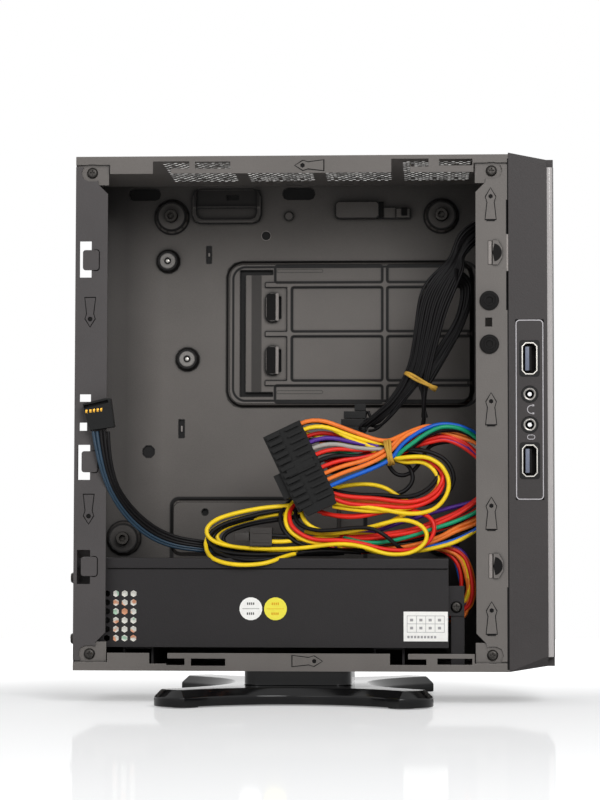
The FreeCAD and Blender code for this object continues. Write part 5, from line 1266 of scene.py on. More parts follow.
class CASE_OT_small_lead(bpy.types.Operator):
    """Lays the four wires of the small grey plug"""

    bl_idname = "case.small_lead"
    bl_label = "Small lead"

    def execute(self, context):
        for index, (colour, y, z) in enumerate(CPU_WIRES):
            drift = 0.8 * index
            route = [(89.0, y, z - 1.6), (95.0, y + 0.4, z - 1.8),
                     (103.0, -27.6 + 0.5 * index, 59.6 + 0.3 * drift),
                     (114.0, -26.0, 60.2 - 0.6 * drift), (127.0, -24.6 + 0.3 * drift, 62.0 - drift),
                     (139.0, -23.4, 61.4 - drift), (150.0, -22.4, 58.6 - 0.6 * drift)]
            wire(f"small_plug_wire_{index}", colour, list(reversed(route)), ("cpu_lead",))
        return {"FINISHED"}


FRONT_LEAD = [(200.0, -11.0, 206.0), (190.0, -11.0, 206.0), (179.0, -14.5, 200.5), (174.0, -15.6, 190.6)]
HANK_LEFT = [(168.0, -18.4, 186.5), (161.0, -20.4, 179.5), (157.2, -20.8, 172.5), (155.2, -20.6, 161.5),
             (153.8, -19.6, 149.5), (151.6, -18.4, 137.6)]
HANK_RIGHT = [(177.4, -17.4, 185.6), (173.4, -19.6, 176.5), (168.8, -19.8, 165.5), (165.8, -19.4, 154.0),
              (163.0, -18.8, 144.5), (160.4, -18.2, 133.0)]
HANK_RETURN = [(180.4, -14.6, 182.0), (181.0, -13.8, 172.0), (177.6, -13.8, 160.0), (170.0, -14.0, 146.0),
               (161.6, -14.8, 132.0)]
TAIL_LEFT = [(143.6, -16.6, 124.6), (135.0, -14.0, 116.6), (126.6, -11.6, 111.6)]
TAIL_RIGHT = [(158.8, -15.6, 122.6), (158.6, -13.4, 115.0), (157.4, -12.4, 108.6)]
HANK_WIRES = 13
SECOND_PLUG_WIRES = 3


def between(one, two, share):
    """A route at a share of the way from one route to another."""
    return [tuple(a + (b - a) * share for a, b in zip(p, q)) for p, q in zip(one, two)]


def hank_wire_route(index, share, rng):
    """From the switches down the hank to one of the two plugs."""
    rise = []
    for x, y, z in FRONT_LEAD[:2]:
        strays = [rng.uniform(-reach, reach) for reach in (0.8, 2.2, 1.0)]
        rise.append((x + strays[0], y + strays[1], z + (share - 0.5) * -9.0 + strays[2]))
    x, y, z = FRONT_LEAD[2]
    rise.append((x + (share - 0.5) * 7.0, y + rng.uniform(-1.4, 1.4), z + (0.5 - share) * 6.0))
    x, y, z = FRONT_LEAD[3]
    rise.append((x + (share - 0.5) * 5.0, y + rng.uniform(-0.8, 0.8), z))
    hank = strayed(between(HANK_LEFT, HANK_RIGHT, share), rng, 0.25, 0)
    to_second = index >= HANK_WIRES - SECOND_PLUG_WIRES
    tail = strayed(between(TAIL_LEFT, TAIL_RIGHT, 1.0 if to_second else share * 0.45), rng, 1.0, 0)
    if to_second:
        ending = (156.0, -11.0, 101.0)
    else:
        ending = (131.4 + 0.2 * index, -10.6 + rng.uniform(-1.6, 1.6), 110.0 + 0.9 * (index % 4) * 3.4)
    return rise + hank + tail + [ending]


def hank_return_route(share, rng):
    """A wire of the hank's fold, on its way back beside the first ones."""
    inner = []
    for i, (x, y, z) in enumerate(HANK_RETURN):
        aside = 7.0 * (1 - share) * (0.6 if i < 3 else 0.9)
        drop = 4.0 * (1 - share) if i == 0 else 0.0
        inner.append((x - aside, y + 1.4 * share, z - drop))
    x, y, z = HANK_RIGHT[1]
    route = [(x, y, z + 8.0 * share)] + strayed(inner, rng, 0.4, 0)
    return route + [(159.0 - 2.0 * share, -15.0, 126.0), (158.0 + 2.0 * share, -13.6, 116.0)]


class CASE_OT_front_leads(bpy.types.Operator):
    """Lays the front panel leads: down from the switches, folded flat in a hank and on to their plugs"""

    bl_idname = "case.front_leads"
    bl_label = "Front panel leads"

    def execute(self, context):
        rng = random.Random(7)
        thick = context.scene.case_sizes.ribbon_diameter
        shares = [index / (HANK_WIRES - 1) for index in range(HANK_WIRES)]
        for index, share in enumerate(shares):
            wire(f"front_wire_{index:02d}", "black", hank_wire_route(index, share, rng),
                 ("front_lead", "front_hank_slab", "front_tail"), diameter=thick,
                 declared=index in (0, HANK_WIRES - 1))
        for index, share in enumerate(shares):
            wire(f"front_return_{index:02d}", "black", hank_return_route(share, rng), ("front_hank_slab",),
                 diameter=thick, declared=False)
        return {"FINISHED"}


FRAME_HEIGHT = 36.0
LAMPS = (("key_light", (0.42, -1.3, 0.72), 0.7, "key_power"),
         ("fill_light", (-0.5, -1.3, 0.5), 0.8, "fill_power"),
         ("back_light", (-0.3, 1.1, 0.9), 0.8, "fill_power"))
GLOW_SPAN = (0.04, 0.3)


class CASE_OT_stage(bpy.types.Operator):
    """Sets up the floor, the soft lights, the room and the camera"""

    bl_idname = "case.stage"
    bl_label = "Stage"

    def execute(self, context):
        scene = context.scene
        settings = scene.stage_settings
        scene.view_settings.view_transform = "Standard"
        self.camera(scene, settings)
        self.room(scene, settings)
        self.floor(scene, settings)
        low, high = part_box("side_wall")
        middle = (low + high) / 2
        for name, place, size, power in LAMPS:
            self.lamp(name, place, middle, size, getattr(settings, power))
        return {"FINISHED"}

    def camera(self, scene, settings):
        data = bpy.data.cameras.new("photo_camera")
        data.sensor_fit = "VERTICAL"
        data.sensor_height = FRAME_HEIGHT
        data.lens = settings.lens
        data.clip_start = 0.01
        camera = bpy.data.objects.new("photo_camera", data)
        scene.collection.objects.link(camera)
        pitch, roll, yaw = settings.camera_turn
        turn = Matrix.Rotation(yaw, 4, "Z") @ Matrix.Rotation(pitch, 4, "X") @ Matrix.Rotation(roll, 4, "Y")
        upright = Matrix.Rotation(math.pi / 2, 4, "X")
        camera.matrix_world = Matrix.Translation(Vector(settings.camera_place)) @ turn @ upright
        scene.camera = camera

    def room(self, scene, settings):
        """A room that lights evenly, but looks white to the camera and in reflections."""
        world = bpy.data.worlds.new("pale room")
        scene.world = world
        world.use_nodes = True
        tree = world.node_tree
        tree.nodes.clear()
        out = tree.nodes.new("ShaderNodeOutputWorld")
        light = tree.nodes.new("ShaderNodeBackground")
        light.inputs["Color"].default_value = (1.0, 1.0, 1.0, 1.0)
        light.inputs["Strength"].default_value = settings.world_strength
        shown = tree.nodes.new("ShaderNodeBackground")
        shown.inputs["Color"].default_value = (1.0, 1.0, 1.0, 1.0)
        shown.inputs["Strength"].default_value = 1.0
        rays = tree.nodes.new("ShaderNodeLightPath")
        seen = plain(tree, "MAXIMUM", rays.outputs["Is Camera Ray"], rays.outputs["Is Glossy Ray"])
        seen = plain(tree, "MAXIMUM", seen, rays.outputs["Is Transmission Ray"])
        mix = tree.nodes.new("ShaderNodeMixShader")
        tree.links.new(seen, mix.inputs["Fac"])
        tree.links.new(light.outputs[0], mix.inputs[1])
        tree.links.new(shown.outputs[0], mix.inputs[2])
        tree.links.new(mix.outputs[0], out.inputs["Surface"])

    def floor(self, scene, settings):
        """A round pale floor that mirrors a little and turns white behind the case, as the photo's does."""
        bm = bmesh.new()
        bmesh.ops.create_circle(bm, cap_ends=True, segments=96, radius=settings.floor_radius)
        mesh = bpy.data.meshes.new("floor")
        bm.to_mesh(mesh)
        bm.free()
        floor = bpy.data.objects.new("floor", mesh)
        scene.collection.objects.link(floor)
        material = bpy.data.materials.new("pale floor")
        material.use_nodes = True
        tree = material.node_tree
        tree.nodes.clear()
        base = tree.nodes.new("ShaderNodeBsdfDiffuse")
        base.inputs["Color"].default_value = (*settings.floor_colour, 1.0)
        glow = tree.nodes.new("ShaderNodeEmission")
        away = tree.nodes.new("ShaderNodeSeparateXYZ")
        tree.links.new(tree.nodes.new("ShaderNodeTexCoord").outputs["Object"], away.inputs[0])
        lift = mapped(tree, away.outputs["Y"], settings.floor_glow, 1.0, *GLOW_SPAN)
        camera_ray = tree.nodes.new("ShaderNodeLightPath").outputs["Is Camera Ray"]
        tree.links.new(plain(tree, "MULTIPLY", lift, camera_ray), glow.inputs["Strength"])
        lifted = tree.nodes.new("ShaderNodeAddShader")
        tree.links.new(base.outputs[0], lifted.inputs[0])
        tree.links.new(glow.outputs[0], lifted.inputs[1])
        mirror = tree.nodes.new("ShaderNodeBsdfGlossy")
        mirror.inputs["Roughness"].default_value = 0.05
        mix = tree.nodes.new("ShaderNodeMixShader")
        mix.inputs["Fac"].default_value = settings.floor_mirror
        tree.links.new(lifted.outputs[0], mix.inputs[1])
        tree.links.new(mirror.outputs[0], mix.inputs[2])
        tree.links.new(mix.outputs[0], tree.nodes.new("ShaderNodeOutputMaterial").inputs["Surface"])
        mesh.materials.append(material)

    def lamp(self, name, place, target, size, power):
        data = bpy.data.lights.new(name, "AREA")
        data.shape = "DISK"
        data.size = size
        data.energy = power
        lamp = bpy.data.objects.new(name, data)
        bpy.context.scene.collection.objects.link(lamp)
        lamp.location = place
        lamp.rotation_euler = (Vector(target) - Vector(place)).to_track_quat("-Z", "Y").to_euler()


# Keyhole arrows pressed into the flanges: tail, length towards the head, and whether they lie along x
ARROW_PROFILE = ((0.0, 1.0), (0.55, 0.62), (0.72, 0.95), (1.0, 0.0))
ARROW_WIDTH = 4.6
REAR_ARROWS = ((6.9, 169.1, -13.1, False), (6.8, 79.4, -13.1, False))
FRONT_ARROW_TAILS = (204.4, 111.3, 64.2, 17.2)
FRONT_ARROWS = tuple((189.1, z, 14.0, False) for z in FRONT_ARROW_TAILS)
FLAT_ARROWS = ((113.2, 229.4, -12.8, True), (99.6, 4.6, 13.2, True))
REAR_TABS = ((181.8, 191.0), (89.6, 99.2), (42.6, 51.3))
REAR_OPENING = (-2.0, 3.0, -38.0, 39.7, 59.8, 218.55)

# The round vents of the top sheet: the first one's place, how many there are and their distances, in mm
VENT_START = (39.0, 27.0, 233.5)
VENT_GROUPS = 4
VENT_COLUMNS = 9
VENT_ROWS = 20
GROUP_PITCH = 37.0
COLUMN_PITCH = 3.45
ROW_PITCH = 2.99
VENT_DEPTH = 0.003

# The lug of the bottom sheet that carries the supply's bracket lies behind this depth and over this height
LUG_DEPTH = -33.0
LUG_FOOT = 6.0


def arrow_outline(x, z, length, along_x, wider=0.0):
    """Points round a keyhole arrow, or round its groove when it is made wider."""
    way = 1.0 if length > 0 else -1.0
    reach = length + 2.4 * wider * way
    half = ARROW_WIDTH / 2
    side = [(share * reach - 1.2 * wider * way, width * half + wider) for share, width in ARROW_PROFILE[:-1]]
    points = side + [(reach - 1.2 * wider * way, 0.0)] + [(u, -v) for u, v in reversed(side)]
    return [(x + u, z + v) if along_x else (x + v, z + u) for u, v in points]


def rear_arrow(x, z, length):
    """A rear arrow with its small hole."""
    hole = round_outline(x, z + length * 0.74, 1.1, 12)
    return flat_piece(arrow_outline(x, z, length, False), OPEN_SIDE - 0.35, OPEN_SIDE + 0.6, (hole,))


def vent_place(group, column, row):
    """The middle of a vent, where every other row is set half a step aside."""
    x, y, z = VENT_START
    aside = row % 2 * COLUMN_PITCH / 2
    return at(x + GROUP_PITCH * group + COLUMN_PITCH * column + aside, y - ROW_PITCH * row, z)


class CASE_OT_sheets(bpy.types.Operator):
    """Paints the steel sheets, opens their vents and rounds their folds and cut edges"""

    bl_idname = "case.sheets"
    bl_label = "Steel sheets"

    def execute(self, context):
        sizes = context.scene.case_sizes
        soften(dress("side_wall", finish("pressed sheet"), finish("pressed sheet")), sizes.press_round, 2)
        for node in ("bottom_panel", "front_frame", "outer_cover"):
            key = "cover sheet" if node == "outer_cover" else "sheet"
            # Their rounded edges take the lighter edge coat, a painted highlight
            soften(dress(node, finish(key), finish("sheet edge")), sizes.edge_round, 2, 1)
        self.lug()
        for node in ("psu_case", "psu_cover", "psu_end_bracket"):
            soften(dress(node, finish("supply"), finish("supply edge")), sizes.edge_round, 2, 1)
        self.top(sizes)
        self.rear(sizes)
        self.marks()
        return {"FINISHED"}

    def lug(self):
        """Paints the lug that carries the supply's bracket like the supply, as painted shade where it lies in
        shadow behind the wires.
        """
        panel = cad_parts["bottom_panel"].data
        panel.materials.append(finish("supply"))
        foot = at(0.0, LUG_DEPTH, LUG_FOOT)
        for face in panel.polygons:
            if face.center.y > foot.y and face.center.z > foot.z:
                face.material_index = len(panel.materials) - 1

    def top(self, sizes):
        """The top sheet with its four fields of round vents."""
        holes = [(vent_place(group, column, row), (0, 0, 1), sizes.vent_radius)
                 for group in range(VENT_GROUPS) for column in range(VENT_COLUMNS)
                 for row in range(VENT_ROWS)]
        cutter = pins(holes, VENT_DEPTH, 12)
        mesh = carved("top_panel", "top_sheet", cutter, sizes.edge_round, inner_slot=1)
        top = put("top_sheet", mesh, finish("sheet"), stands_for=("top_panel",))
        # The vents' walls take the bare finish with its painted glow
        top.data.materials.append(finish("vent edge"))
        even_normals(top)

    def rear(self, sizes):
        """The rear sheet, open where a plate for the board's connectors and a card's bracket go."""
        mesh = carved("rear_panel", "rear_sheet", box_piece(*REAR_OPENING), sizes.edge_round, OPEN_SIDE)
        sheet = put("rear_sheet", mesh, finish("rear sheet"), stands_for=("rear_panel",))
        even_normals(sheet)
        parts = [flat_piece(rounded_outline(3.5, 10.8, z0, z1, 1.2), OPEN_SIDE - 0.8, OPEN_SIDE + 0.4)
                 for z0, z1 in REAR_TABS]
        parts += [rear_arrow(x, z, length) for x, z, length, _ in REAR_ARROWS]
        tabs = joined("rear_tabs", parts, "rear sheet", ("rear_panel",))
        soften(tabs, sizes.edge_round)

    def marks(self):
        """Painted shade in the grooves round the arrows and tabs, the gap beside the bezel, and the pale cut
        edges as painted highlights.
        """
        near = OPEN_SIDE - 0.04
        # Painted shade: dark plates round the arrows and tabs and beside the arrows' tails
        parts = [flat_piece(arrow_outline(x, z, length, along_x, 0.42), near, near + 0.3)
                 for x, z, length, along_x in REAR_ARROWS + FRONT_ARROWS + FLAT_ARROWS]
        parts += [flat_piece(rounded_outline(7.5, 11.2, z0 - 0.4, z1 + 0.4, 1.5), near, near + 0.3)
                  for z0, z1 in REAR_TABS]
        parts += [box_piece(187.2, 191.0, OPEN_SIDE - 0.4, OPEN_SIDE, z - 0.9, z)
                  for z in FRONT_ARROW_TAILS]
        parts += [flat_piece(arc_outline(189.9, z, 4.2, 0.01, -78, 78), OPEN_SIDE - 0.86, OPEN_SIDE - 0.7)
                  for z in (189.1, 47.5)]
        parts += [box_piece(x0, 197.05, near, near + 0.4, z0, z1) for x0, z0, z1 in (
            (196.1, 1.0, 38.0), (196.55, 38.0, 232.0), (196.0, 197.6, 213.2), (196.0, 163.0, 180.6))]
        joined("sheet_gaps", parts, "gap")
        # Painted highlights: pale strips on the cut edges
        pale = [box_piece(188.0, 189.5, OPEN_SIDE - 0.3, OPEN_SIDE + 0.4, z, z + 10.6, 0.2)
                for z in (183.8, 42.2)]
        pale.append(box_piece(196.2, 197.0, OPEN_SIDE - 0.1, OPEN_SIDE + 0.2, 180.8, 197.4, 0.05))
        joined("pale_edges", pale, "pale edge")


SCREW_CROWN = ((1.0, 0.0), (1.0, 0.3), (0.92, 0.66), (0.74, 0.92), (0.56, 1.0), (0.5, 0.96), (0.4, 0.45),
               (0.0, 0.4))
BUMPER_PROFILE = ((2.0, -2.2), (2.0, 0.0), (4.3, 0.0), (4.4, 0.7), (4.0, 1.3), (3.1, 1.6), (2.8, 1.35),
                  (2.5, 1.35), (2.3, 1.6), (1.7, 1.6), (1.4, 1.0), (0.0, 1.0))
POST_PROFILE = ((3.2, 0.0), (3.2, 3.1), (2.9, 3.5), (1.7, 3.5), (1.25, 3.1), (1.25, 0.6), (0.0, 0.6))
INSERT_PROFILE = ((3.7, 0.0), (3.7, 0.5), (3.4, 0.8), (2.0, 0.8), (1.7, 0.4), (1.7, 0.0))
BEAD_PROFILE = ((1.0, 0.0), (0.8, 0.5), (0.0, 0.7))
CORNER_SCREWS = tuple((x, z) for x in (7.5, 189.5) for z in (7.5, 226.5))
BUMPERS = ((188.4, 147.5), (188.4, 167.3))


def screw(place, radius, height, shank, length):
    """A screw: crowned head with a crossed recess, and its shank behind the seat."""
    crown = [(radius * wide, height * along) for wide, along in SCREW_CROWN]
    return turned([(0.0, -length), (shank, -length), (shank, 0.0)] + crown, place, OUTWARD, 40, False, (8, 9))


def turned_at(profile, spots, depth, steps=40):
    """The same turned form at each spot, given in x and z, with its foot at one depth."""
    return [turned(profile, at(x, depth, z), OUTWARD, steps, False) for x, z in spots]


class CASE_OT_fixings(bpy.types.Operator):
    """Turns the screws, standoffs, inserts and bumpers"""

    bl_idname = "case.fixings"
    bl_label = "Screws and bumpers"

    def execute(self, context):
        corners = [screw(at(x, OPEN_SIDE + 1.0, z), 2.5, 1.5, 1.4, 4.0) for x, z in CORNER_SCREWS]
        joined("corner_screw_heads", corners, "screw", ("corner_screws",))
        bracket = [screw(at(173.4, -32.9, 28.9), 2.6, 1.6, 1.4, 3.0)]
        joined("bracket_screw_head", bracket, "screw", ("psu_bracket_screw",))
        bumpers = turned_at(BUMPER_PROFILE, BUMPERS, OPEN_SIDE)
        joined("bumper_buttons", bumpers, "rubber", ("flange_bumpers",))
        posts = turned_at(POST_PROFILE, BOARD_SEATS, SEAT_FACE)
        joined("standoff_posts", posts, "screw", ("board_standoffs",))
        inserts = turned_at(INSERT_PROFILE, INSERT_SEATS, SEAT_FACE)
        joined("insert_rings", inserts, "insert face", ("threaded_inserts",))
        beads = turned_at(BEAD_PROFILE, INSERT_SEATS, SEAT_FACE, 24)
        joined("insert_beads", beads, "nickel", stands_for=("threaded_inserts",))
        return {"FINISHED"}


PORT_X = 206.45
USB_PORTS = (("usb_port_upper", 141.05), ("usb_port_lower", 94.85))
JACKS = (("headphone_jack", 124.85), ("microphone_jack", 111.05))
RING_PROFILE = ((2.9, -0.2), (2.8, 0.62), (2.5, 0.75), (2.1, 0.62), (1.9, 0.2), (1.9, -0.2))
CENTRE_PROFILE = ((0.95, -1.0), (0.95, 0.0), (0.6, 0.2), (0.0, 0.2))


def clipped_outline(x, z, width, height, clip):
    """Points round a rectangle with clipped corners."""
    wide, high = width / 2, height / 2
    return [(x + wide, z + high - clip), (x + wide - clip, z + high), (x - wide + clip, z + high),
            (x - wide, z + high - clip), (x - wide, z - high + clip), (x - wide + clip, z - high),
            (x + wide - clip, z - high), (x + wide, z - high + clip)]


class CASE_OT_ports(bpy.types.Operator):
    """Makes the shells and tongues of the ports, the rings of the jacks, the pale frame and the signs"""

    bl_idname = "case.ports"
    bl_label = "Front ports"

    def execute(self, context):
        surrounds = [self.usb_port(node, z) for node, z in USB_PORTS]
        joined("port_surrounds", surrounds, "jack")
        rings = [turned(RING_PROFILE, at(PORT_X, OPEN_SIDE, z), OUTWARD) for _, z in JACKS]
        joined("jack_rings", rings, "bright screw")
        centres = turned_at(CENTRE_PROFILE, [(PORT_X, z) for _, z in JACKS], OPEN_SIDE, 24)
        joined("jack_centres", centres, "white enamel")
        self.signs()
        return {"FINISHED"}

    def usb_port(self, node, z):
        """Makes a port's shell, tongue and dark inside, and gives back the surround it sits in."""
        near = OPEN_SIDE
        outer = clipped_outline(PORT_X, z, 7.0, 14.5, 1.7)
        inner = clipped_outline(PORT_X, z, 6.1, 13.6, 1.4)
        shell = [flat_piece(outer, near - 0.3, near + 9.0, (inner,)),
                 flat_piece(outer, near + 8.6, near + 9.2)]
        joined(node + "_shell", shell, "nickel", (node,))
        tongue = [box_piece(PORT_X - 1.9, PORT_X - 0.1, near + 0.9, near + 8.6, z - 5.4, z + 5.4, 0.15)]
        joined(node + "_tongue", tongue, "tongue", stands_for=(node,))
        inside = [flat_piece(inner, near + 6.0, near + 6.4),
                  box_piece(PORT_X - 0.1, PORT_X + 0.9, near + 0.9, near + 8.0, z - 5.4, z + 5.4)]
        joined(node + "_inside", inside, "gap", stands_for=(node,))
        surround = rounded_outline(PORT_X - 4.6, PORT_X + 4.6, z - 8.3, z + 8.3, 1.4)
        return flat_piece(surround, near - 0.12, near + 0.3, (outer,))

    def signs(self):
        """The pale frame round the ports and the simple signs of the jacks."""
        near, far = OPEN_SIDE - 0.05, OPEN_SIDE + 0.1
        pale_frame = flat_piece(rounded_outline(200.2, 212.7, 77.3, 158.6, 1.8), OPEN_SIDE - 0.06,
                                OPEN_SIDE + 0.2, (rounded_outline(200.65, 212.25, 77.75, 158.15, 1.4),))
        signs = [pale_frame, flat_piece(arc_outline(PORT_X + 0.8, 118.0, 2.0, 1.65, 70, 290), near, far),
                 box_piece(PORT_X + 1.1, PORT_X + 2.0, near, far, 119.4, 120.2),
                 box_piece(PORT_X + 1.1, PORT_X + 2.0, near, far, 115.8, 116.6),
                 flat_piece(rounded_outline(PORT_X - 1.2, PORT_X + 2.4, 104.4, 106.6, 1.05), near, far,
                            (rounded_outline(PORT_X - 0.9, PORT_X + 2.1, 104.7, 106.3, 0.75),))]
        joined("port_signs", signs, "sign ink")


STICKER_PRINTS = (("white_sticker_print", 80.2, "dark ink"), ("yellow_sticker_print", 91.4, "orange ink"))
STICKER_MIDDLE = 27.9
LABEL_LEFT = 151.0
LABEL_PITCH = 4.2


class CASE_OT_prints(bpy.types.Operator):
    """Prints plain lines on the stickers and the label, lays a dark line of painted shade along the supply's
    seam, and lines the supply behind its round holes with a pale sheet that glows as painted light
    """

    bl_idname = "case.prints"
    bl_label = "Stickers and label"

    def execute(self, context):
        near = SUPPLY_NEAR - 0.3
        top = near - context.scene.case_sizes.print_height / MM
        for name, x, key in STICKER_PRINTS:
            bars = [box_piece(x - 3.8, x + 3.8, top, near, STICKER_MIDDLE - 0.1, STICKER_MIDDLE + 0.1)]
            for rise, reach in ((2.3, 1.7), (-2.2, 1.8)):
                low, high = STICKER_MIDDLE + rise - 0.55, STICKER_MIDDLE + rise + 0.55
                for step in range(4):
                    left = x - reach + step * 0.9
                    bars.append(box_piece(left, left + 0.55, top, near, low, high))
            joined(name, bars, key)
        lines = []
        for step in range(5):
            left = LABEL_LEFT + LABEL_PITCH * step
            lines.append(box_piece(left, left + 0.2, top, near, 17.4, 25.0))
        lines += [box_piece(LABEL_LEFT, 168.0, top, near, z, z + 0.2) for z in (17.4, 21.2, 24.8)]
        for step in range(4):
            left = LABEL_LEFT + 1.4 + LABEL_PITCH * step
            lines += [box_piece(left, left + 1.4, top, near, z, z + 1.2) for z in (18.8, 22.4)]
        for step in range(9):
            left = LABEL_LEFT + 0.2 + 1.5 * step
            lines.append(box_piece(left, left + 1.0, top, near, 14.8, 15.9))
        joined("label_print", lines, "label ink")
        # Painted shade: a dark line along the step at the supply's seam
        joined("supply_seam", [box_piece(14.9, 169.4, near + 0.1, near + 0.4, 45.7, 46.4)], "gap")
        lining = box_piece(17.0, 29.2, SUPPLY_NEAR + 3.4, SUPPLY_NEAR + 3.8, 12.0, 37.4)
        joined("supply_lining", [lining], "glow")
        return {"FINISHED"}


HOOK_RISE = 2.6
HOOKS = (146.9, 172.9)
SLOTS = (190.8, 131.5)


class CASE_OT_wall_details(bpy.types.Operator):
    """Adds the lips of the hooks and slots with painted shade under the hooks, the clip and round the slots,
    and painted highlights on the hooks' lips and the bright rims of the small holes
    """

    bl_idname = "case.wall_details"
    bl_label = "Wall details"

    def execute(self, context):
        face = WALL_FACE - 2.0
        hook = face - HOOK_RISE
        # Painted shade: dark plates under the hooks' lips and the clip
        dark = [flat_piece(rounded_outline(82.0, 86.6, z - 6.5, z + 6.5, 1.2), hook - 0.08, hook + 0.3)
                for z in HOOKS]
        for x0, x1, z0, z1, rise in ((136.6, 139.0, 216.6, 224.6, 2.4), (147.6, 150.4, 217.6, 221.6, 3.4)):
            lip = WALL_FACE - rise
            dark.append(flat_piece(rounded_outline(x0, x1, z0, z1, 0.3), lip, lip + 0.2))
        joined("hook_shades", dark, "gap")
        # Painted highlights: pale lips on the hooks, bright rims on two small holes and pale tongues in their
        # slots
        pale = [box_piece(86.4, 87.9, hook - 0.5, hook + 0.5, z - 6.7, z + 6.7, 0.4) for z in HOOKS]
        pale += [flat_piece(round_outline(x, z, radius), WALL_FACE - 0.12, WALL_FACE + 0.2,
                            (round_outline(x, z, radius - 0.35),))
                 for x, z, radius in ((81.4, 208.4, 2.5), (52.0, 73.1, 2.0))]
        pale += [box_piece(53.0, 53.8, WALL_FACE, WALL_FACE + 0.8, 198.4, 200.0, 0.1),
                 box_piece(39.9, 40.7, WALL_FACE, WALL_FACE + 0.8, 112.4, 115.2, 0.1)]
        joined("lip_edges", pale, "pale edge")
        # Painted shade: dark lines round the two slots
        lines = [flat_piece(rounded_outline(86.6, 109.5, z - 0.95, z + 0.95, 0.9), face - 0.06, face + 0.1,
                            (rounded_outline(87.0, 109.1, z - 0.55, z + 0.55, 0.5),)) for z in SLOTS]
        joined("slot_lines", lines, "dark ink")
        return {"FINISHED"}


DRIVE_CONTACTS = ((6.4, 116.9), (8.2, 117.1), (9.8, 117.3), (11.5, 117.5), (13.1, 117.7))


class CASE_OT_plug_details(bpy.types.Operator):
    """Adds the ridges of the large plug, the contacts of the drive plug and the latch of the small plug"""

    bl_idname = "case.plug_details"
    bl_label = "Plug details"

    def execute(self, context):
        near = PLUG_NEAR
        ridges = []
        for column in range(PLUG_COLUMNS):
            low = PLUG_LENGTH / PLUG_COLUMNS * column
            ridges.append(plug_part(near - 0.6, near + 0.3, (low + 0.7, 1.2), (low + 2.5, 1.2),
                                    (low + 2.5, 7.6), (low + 0.7, 7.6)))
            ridges.append(plug_part(near - 0.3, near + 0.3, (low + 1.1, 10.6), (low + 2.1, 10.6),
                                    (low + 2.1, 17.6), (low + 1.1, 17.6)))
        ridges.append(plug_part(near + 4.0, near + 9.0, (8.0, -3.4), (20.0, -3.4), (20.0, 0.6), (8.0, 0.6)))
        ridges.append(plug_part(near + 0.4, near + 7.0, (-3.2, 3.0), (0.6, 2.0), (0.6, 18.2), (-3.6, 17.4)))
        joined("main_plug_ridges", ridges, "nylon")
        contacts = [box_piece(x - 0.45, x + 0.45, -51.75, -51.3, z - 0.75, z + 0.75, 0.1)
                    for x, z in DRIVE_CONTACTS]
        joined("drive_plug_contacts", contacts, "gold")
        latch = [box_piece(72.2, 79.0, -34.4, -33.2, 58.6, 62.4, 0.4),
                 box_piece(80.4, 88.4, -34.3, -33.8, 57.8, 58.8, 0.2),
                 box_piece(80.4, 88.4, -34.3, -33.8, 62.0, 63.0, 0.2)]
        joined("small_plug_latch", latch, "grey nylon")
        return {"FINISHED"}


BAND_POINTS = 14
BAND_SWAY = 0.35

# The bands: node, middle in x and z, half width, near and far depth, lean, and where each strand lies
BANDS = (("hank_band", (157.2, 132.8), 7.9, -22.0, -12.4, math.radians(-27), (-0.55, 0.35)),
         ("harness_band", (142.6, 99.4), 5.6, -32.4, -20.2, math.radians(100), (-1.1, -0.2, 0.8)))


def ring_route(centre, wide, near, far, lean, offset):
    """A closed loop of band round a bundle that leans in the picture's plane, as points in mm."""
    along = Vector((math.cos(lean), 0.0, math.sin(lean)))
    across = Vector((-math.sin(lean), 0.0, math.cos(lean)))
    middle = Vector((centre[0], (near + far) / 2, centre[1])) + across * offset
    deep = (far - near) / 2
    points = []
    for step in range(BAND_POINTS):
        angle = 2 * math.pi * step / BAND_POINTS
        swell = (abs(math.cos(angle)) ** 4 + abs(math.sin(angle)) ** 4) ** -0.25
        sway = across * (BAND_SWAY * math.sin(3 * angle + offset * 5.0))
        spot = middle + along * (wide * math.cos(angle) * swell) + sway
        points.append((spot.x, spot.y + deep * math.sin(angle) * swell, spot.z))
    return points


class CASE_OT_bands(bpy.types.Operator):
    """Winds the strands of the two tan rubber bands"""

    bl_idname = "case.bands"
    bl_label = "Rubber bands"

    def execute(self, context):
        thick = context.scene.case_sizes.band_thickness
        for node, centre, wide, near, far, lean, offsets in BANDS:
            for number, offset in enumerate(offsets):
                points = ring_route(centre, wide, near, far, lean, offset)
                path = route_curve(f"{node}_path", points, thick, finish("band"))
                path.data.splines[0].use_endpoint_u = False
                path.data.splines[0].use_cyclic_u = True
                mesh = evaluated(path)
                bpy.data.objects.remove(path)
                put(f"{node}_strand_{number}", mesh, finish("band"), stands_for=(node,))
        return {"FINISHED"}


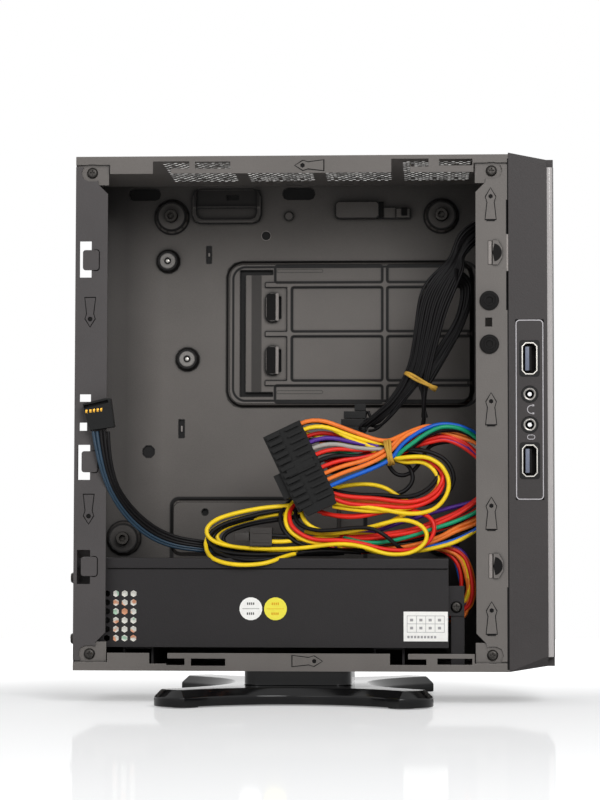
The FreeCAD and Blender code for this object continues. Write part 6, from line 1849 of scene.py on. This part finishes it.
class CASE_OT_plastics(bpy.types.Operator):
    """Gives the bezel, buttons, plugs, boards and the inner pieces their finish"""

    bl_idname = "case.plastics"
    bl_label = "Plastics and inner pieces"

    finishes = {
        "front_bezel": "bezel", "front_fascia": "fascia", "port_plate": "port plate",
        "power_button": "button", "reset_button": "button", "status_lenses": "lens",
        "switch_board": "board", "port_board": "board", "psu_board": "board",
        "headphone_jack": "jack", "microphone_jack": "jack", "psu_transformer": "ferrite",
        "psu_capacitors": "can", "psu_heat_sink": "aluminium", "psu_fan_frame": "fan",
        "psu_fan_rotor": "fan", "power_inlet": "inlet", "psu_rails": "supply", "stand": "stand",
        "foot_pads": "rubber", "psu_fixing_screws": "screw", "stand_screws": "screw",
        "main_plug": "nylon", "cpu_plug": "grey nylon", "drive_plug": "nylon", "header_plugs": "nylon",
        "sticker_white": "white sticker", "sticker_yellow": "yellow sticker",
        "rating_label": "white sticker",
    }
    rounded = ("front_bezel", "front_fascia", "port_plate", "stand", "main_plug", "cpu_plug", "drive_plug",
               "power_inlet", "psu_fan_frame", "header_plugs")

    def execute(self, context):
        sizes = context.scene.case_sizes
        for node, key in self.finishes.items():
            obj = dress(node, finish(key))
            if node in self.rounded:
                wide = sizes.plastic_round if node in ("front_bezel", "stand") else sizes.edge_round
                soften(obj, wide)
            else:
                smooth_only(obj)
        return {"FINISHED"}


class CASE_PT_panel(bpy.types.Panel):
    """Lists the steps that dress the case"""

    bl_idname = "CASE_PT_panel"
    bl_label = "Case"
    bl_space_type = "VIEW_3D"
    bl_region_type = "UI"
    bl_category = "Case"

    def draw(self, context):
        column = self.layout.column()
        for step in STEPS:
            column.operator(step.bl_idname)


GROUPS = {
    "case_paint": CasePaint,
    "wire_paint": WirePaint,
    "case_sizes": CaseSizes,
    "stage_settings": StageSettings,
}
STEPS = (CASE_OT_stage, CASE_OT_main_wires, CASE_OT_loops, CASE_OT_drive_lead, CASE_OT_small_lead,
         CASE_OT_front_leads, CASE_OT_sheets, CASE_OT_fixings, CASE_OT_ports, CASE_OT_prints,
         CASE_OT_wall_details, CASE_OT_plug_details, CASE_OT_bands, CASE_OT_plastics)


def register():
    for name, group in GROUPS.items():
        bpy.utils.register_class(group)
        setattr(bpy.types.Scene, name, bpy.props.PointerProperty(type=group))
    for step in STEPS:
        bpy.utils.register_class(step)
    bpy.utils.register_class(CASE_PT_panel)


def unregister():
    bpy.utils.unregister_class(CASE_PT_panel)
    for step in reversed(STEPS):
        bpy.utils.unregister_class(step)
    for name, group in GROUPS.items():
        delattr(bpy.types.Scene, name)
        bpy.utils.unregister_class(group)


def run_step(step):
    """Calls an operator by its name, as a button would."""
    family, name = step.bl_idname.split(".")
    getattr(getattr(bpy.ops, family), name)()


def main():
    register()
    for step in STEPS:
        run_step(step)
    bpy.context.view_layer.update()


if __name__ == "__main__":
    main()
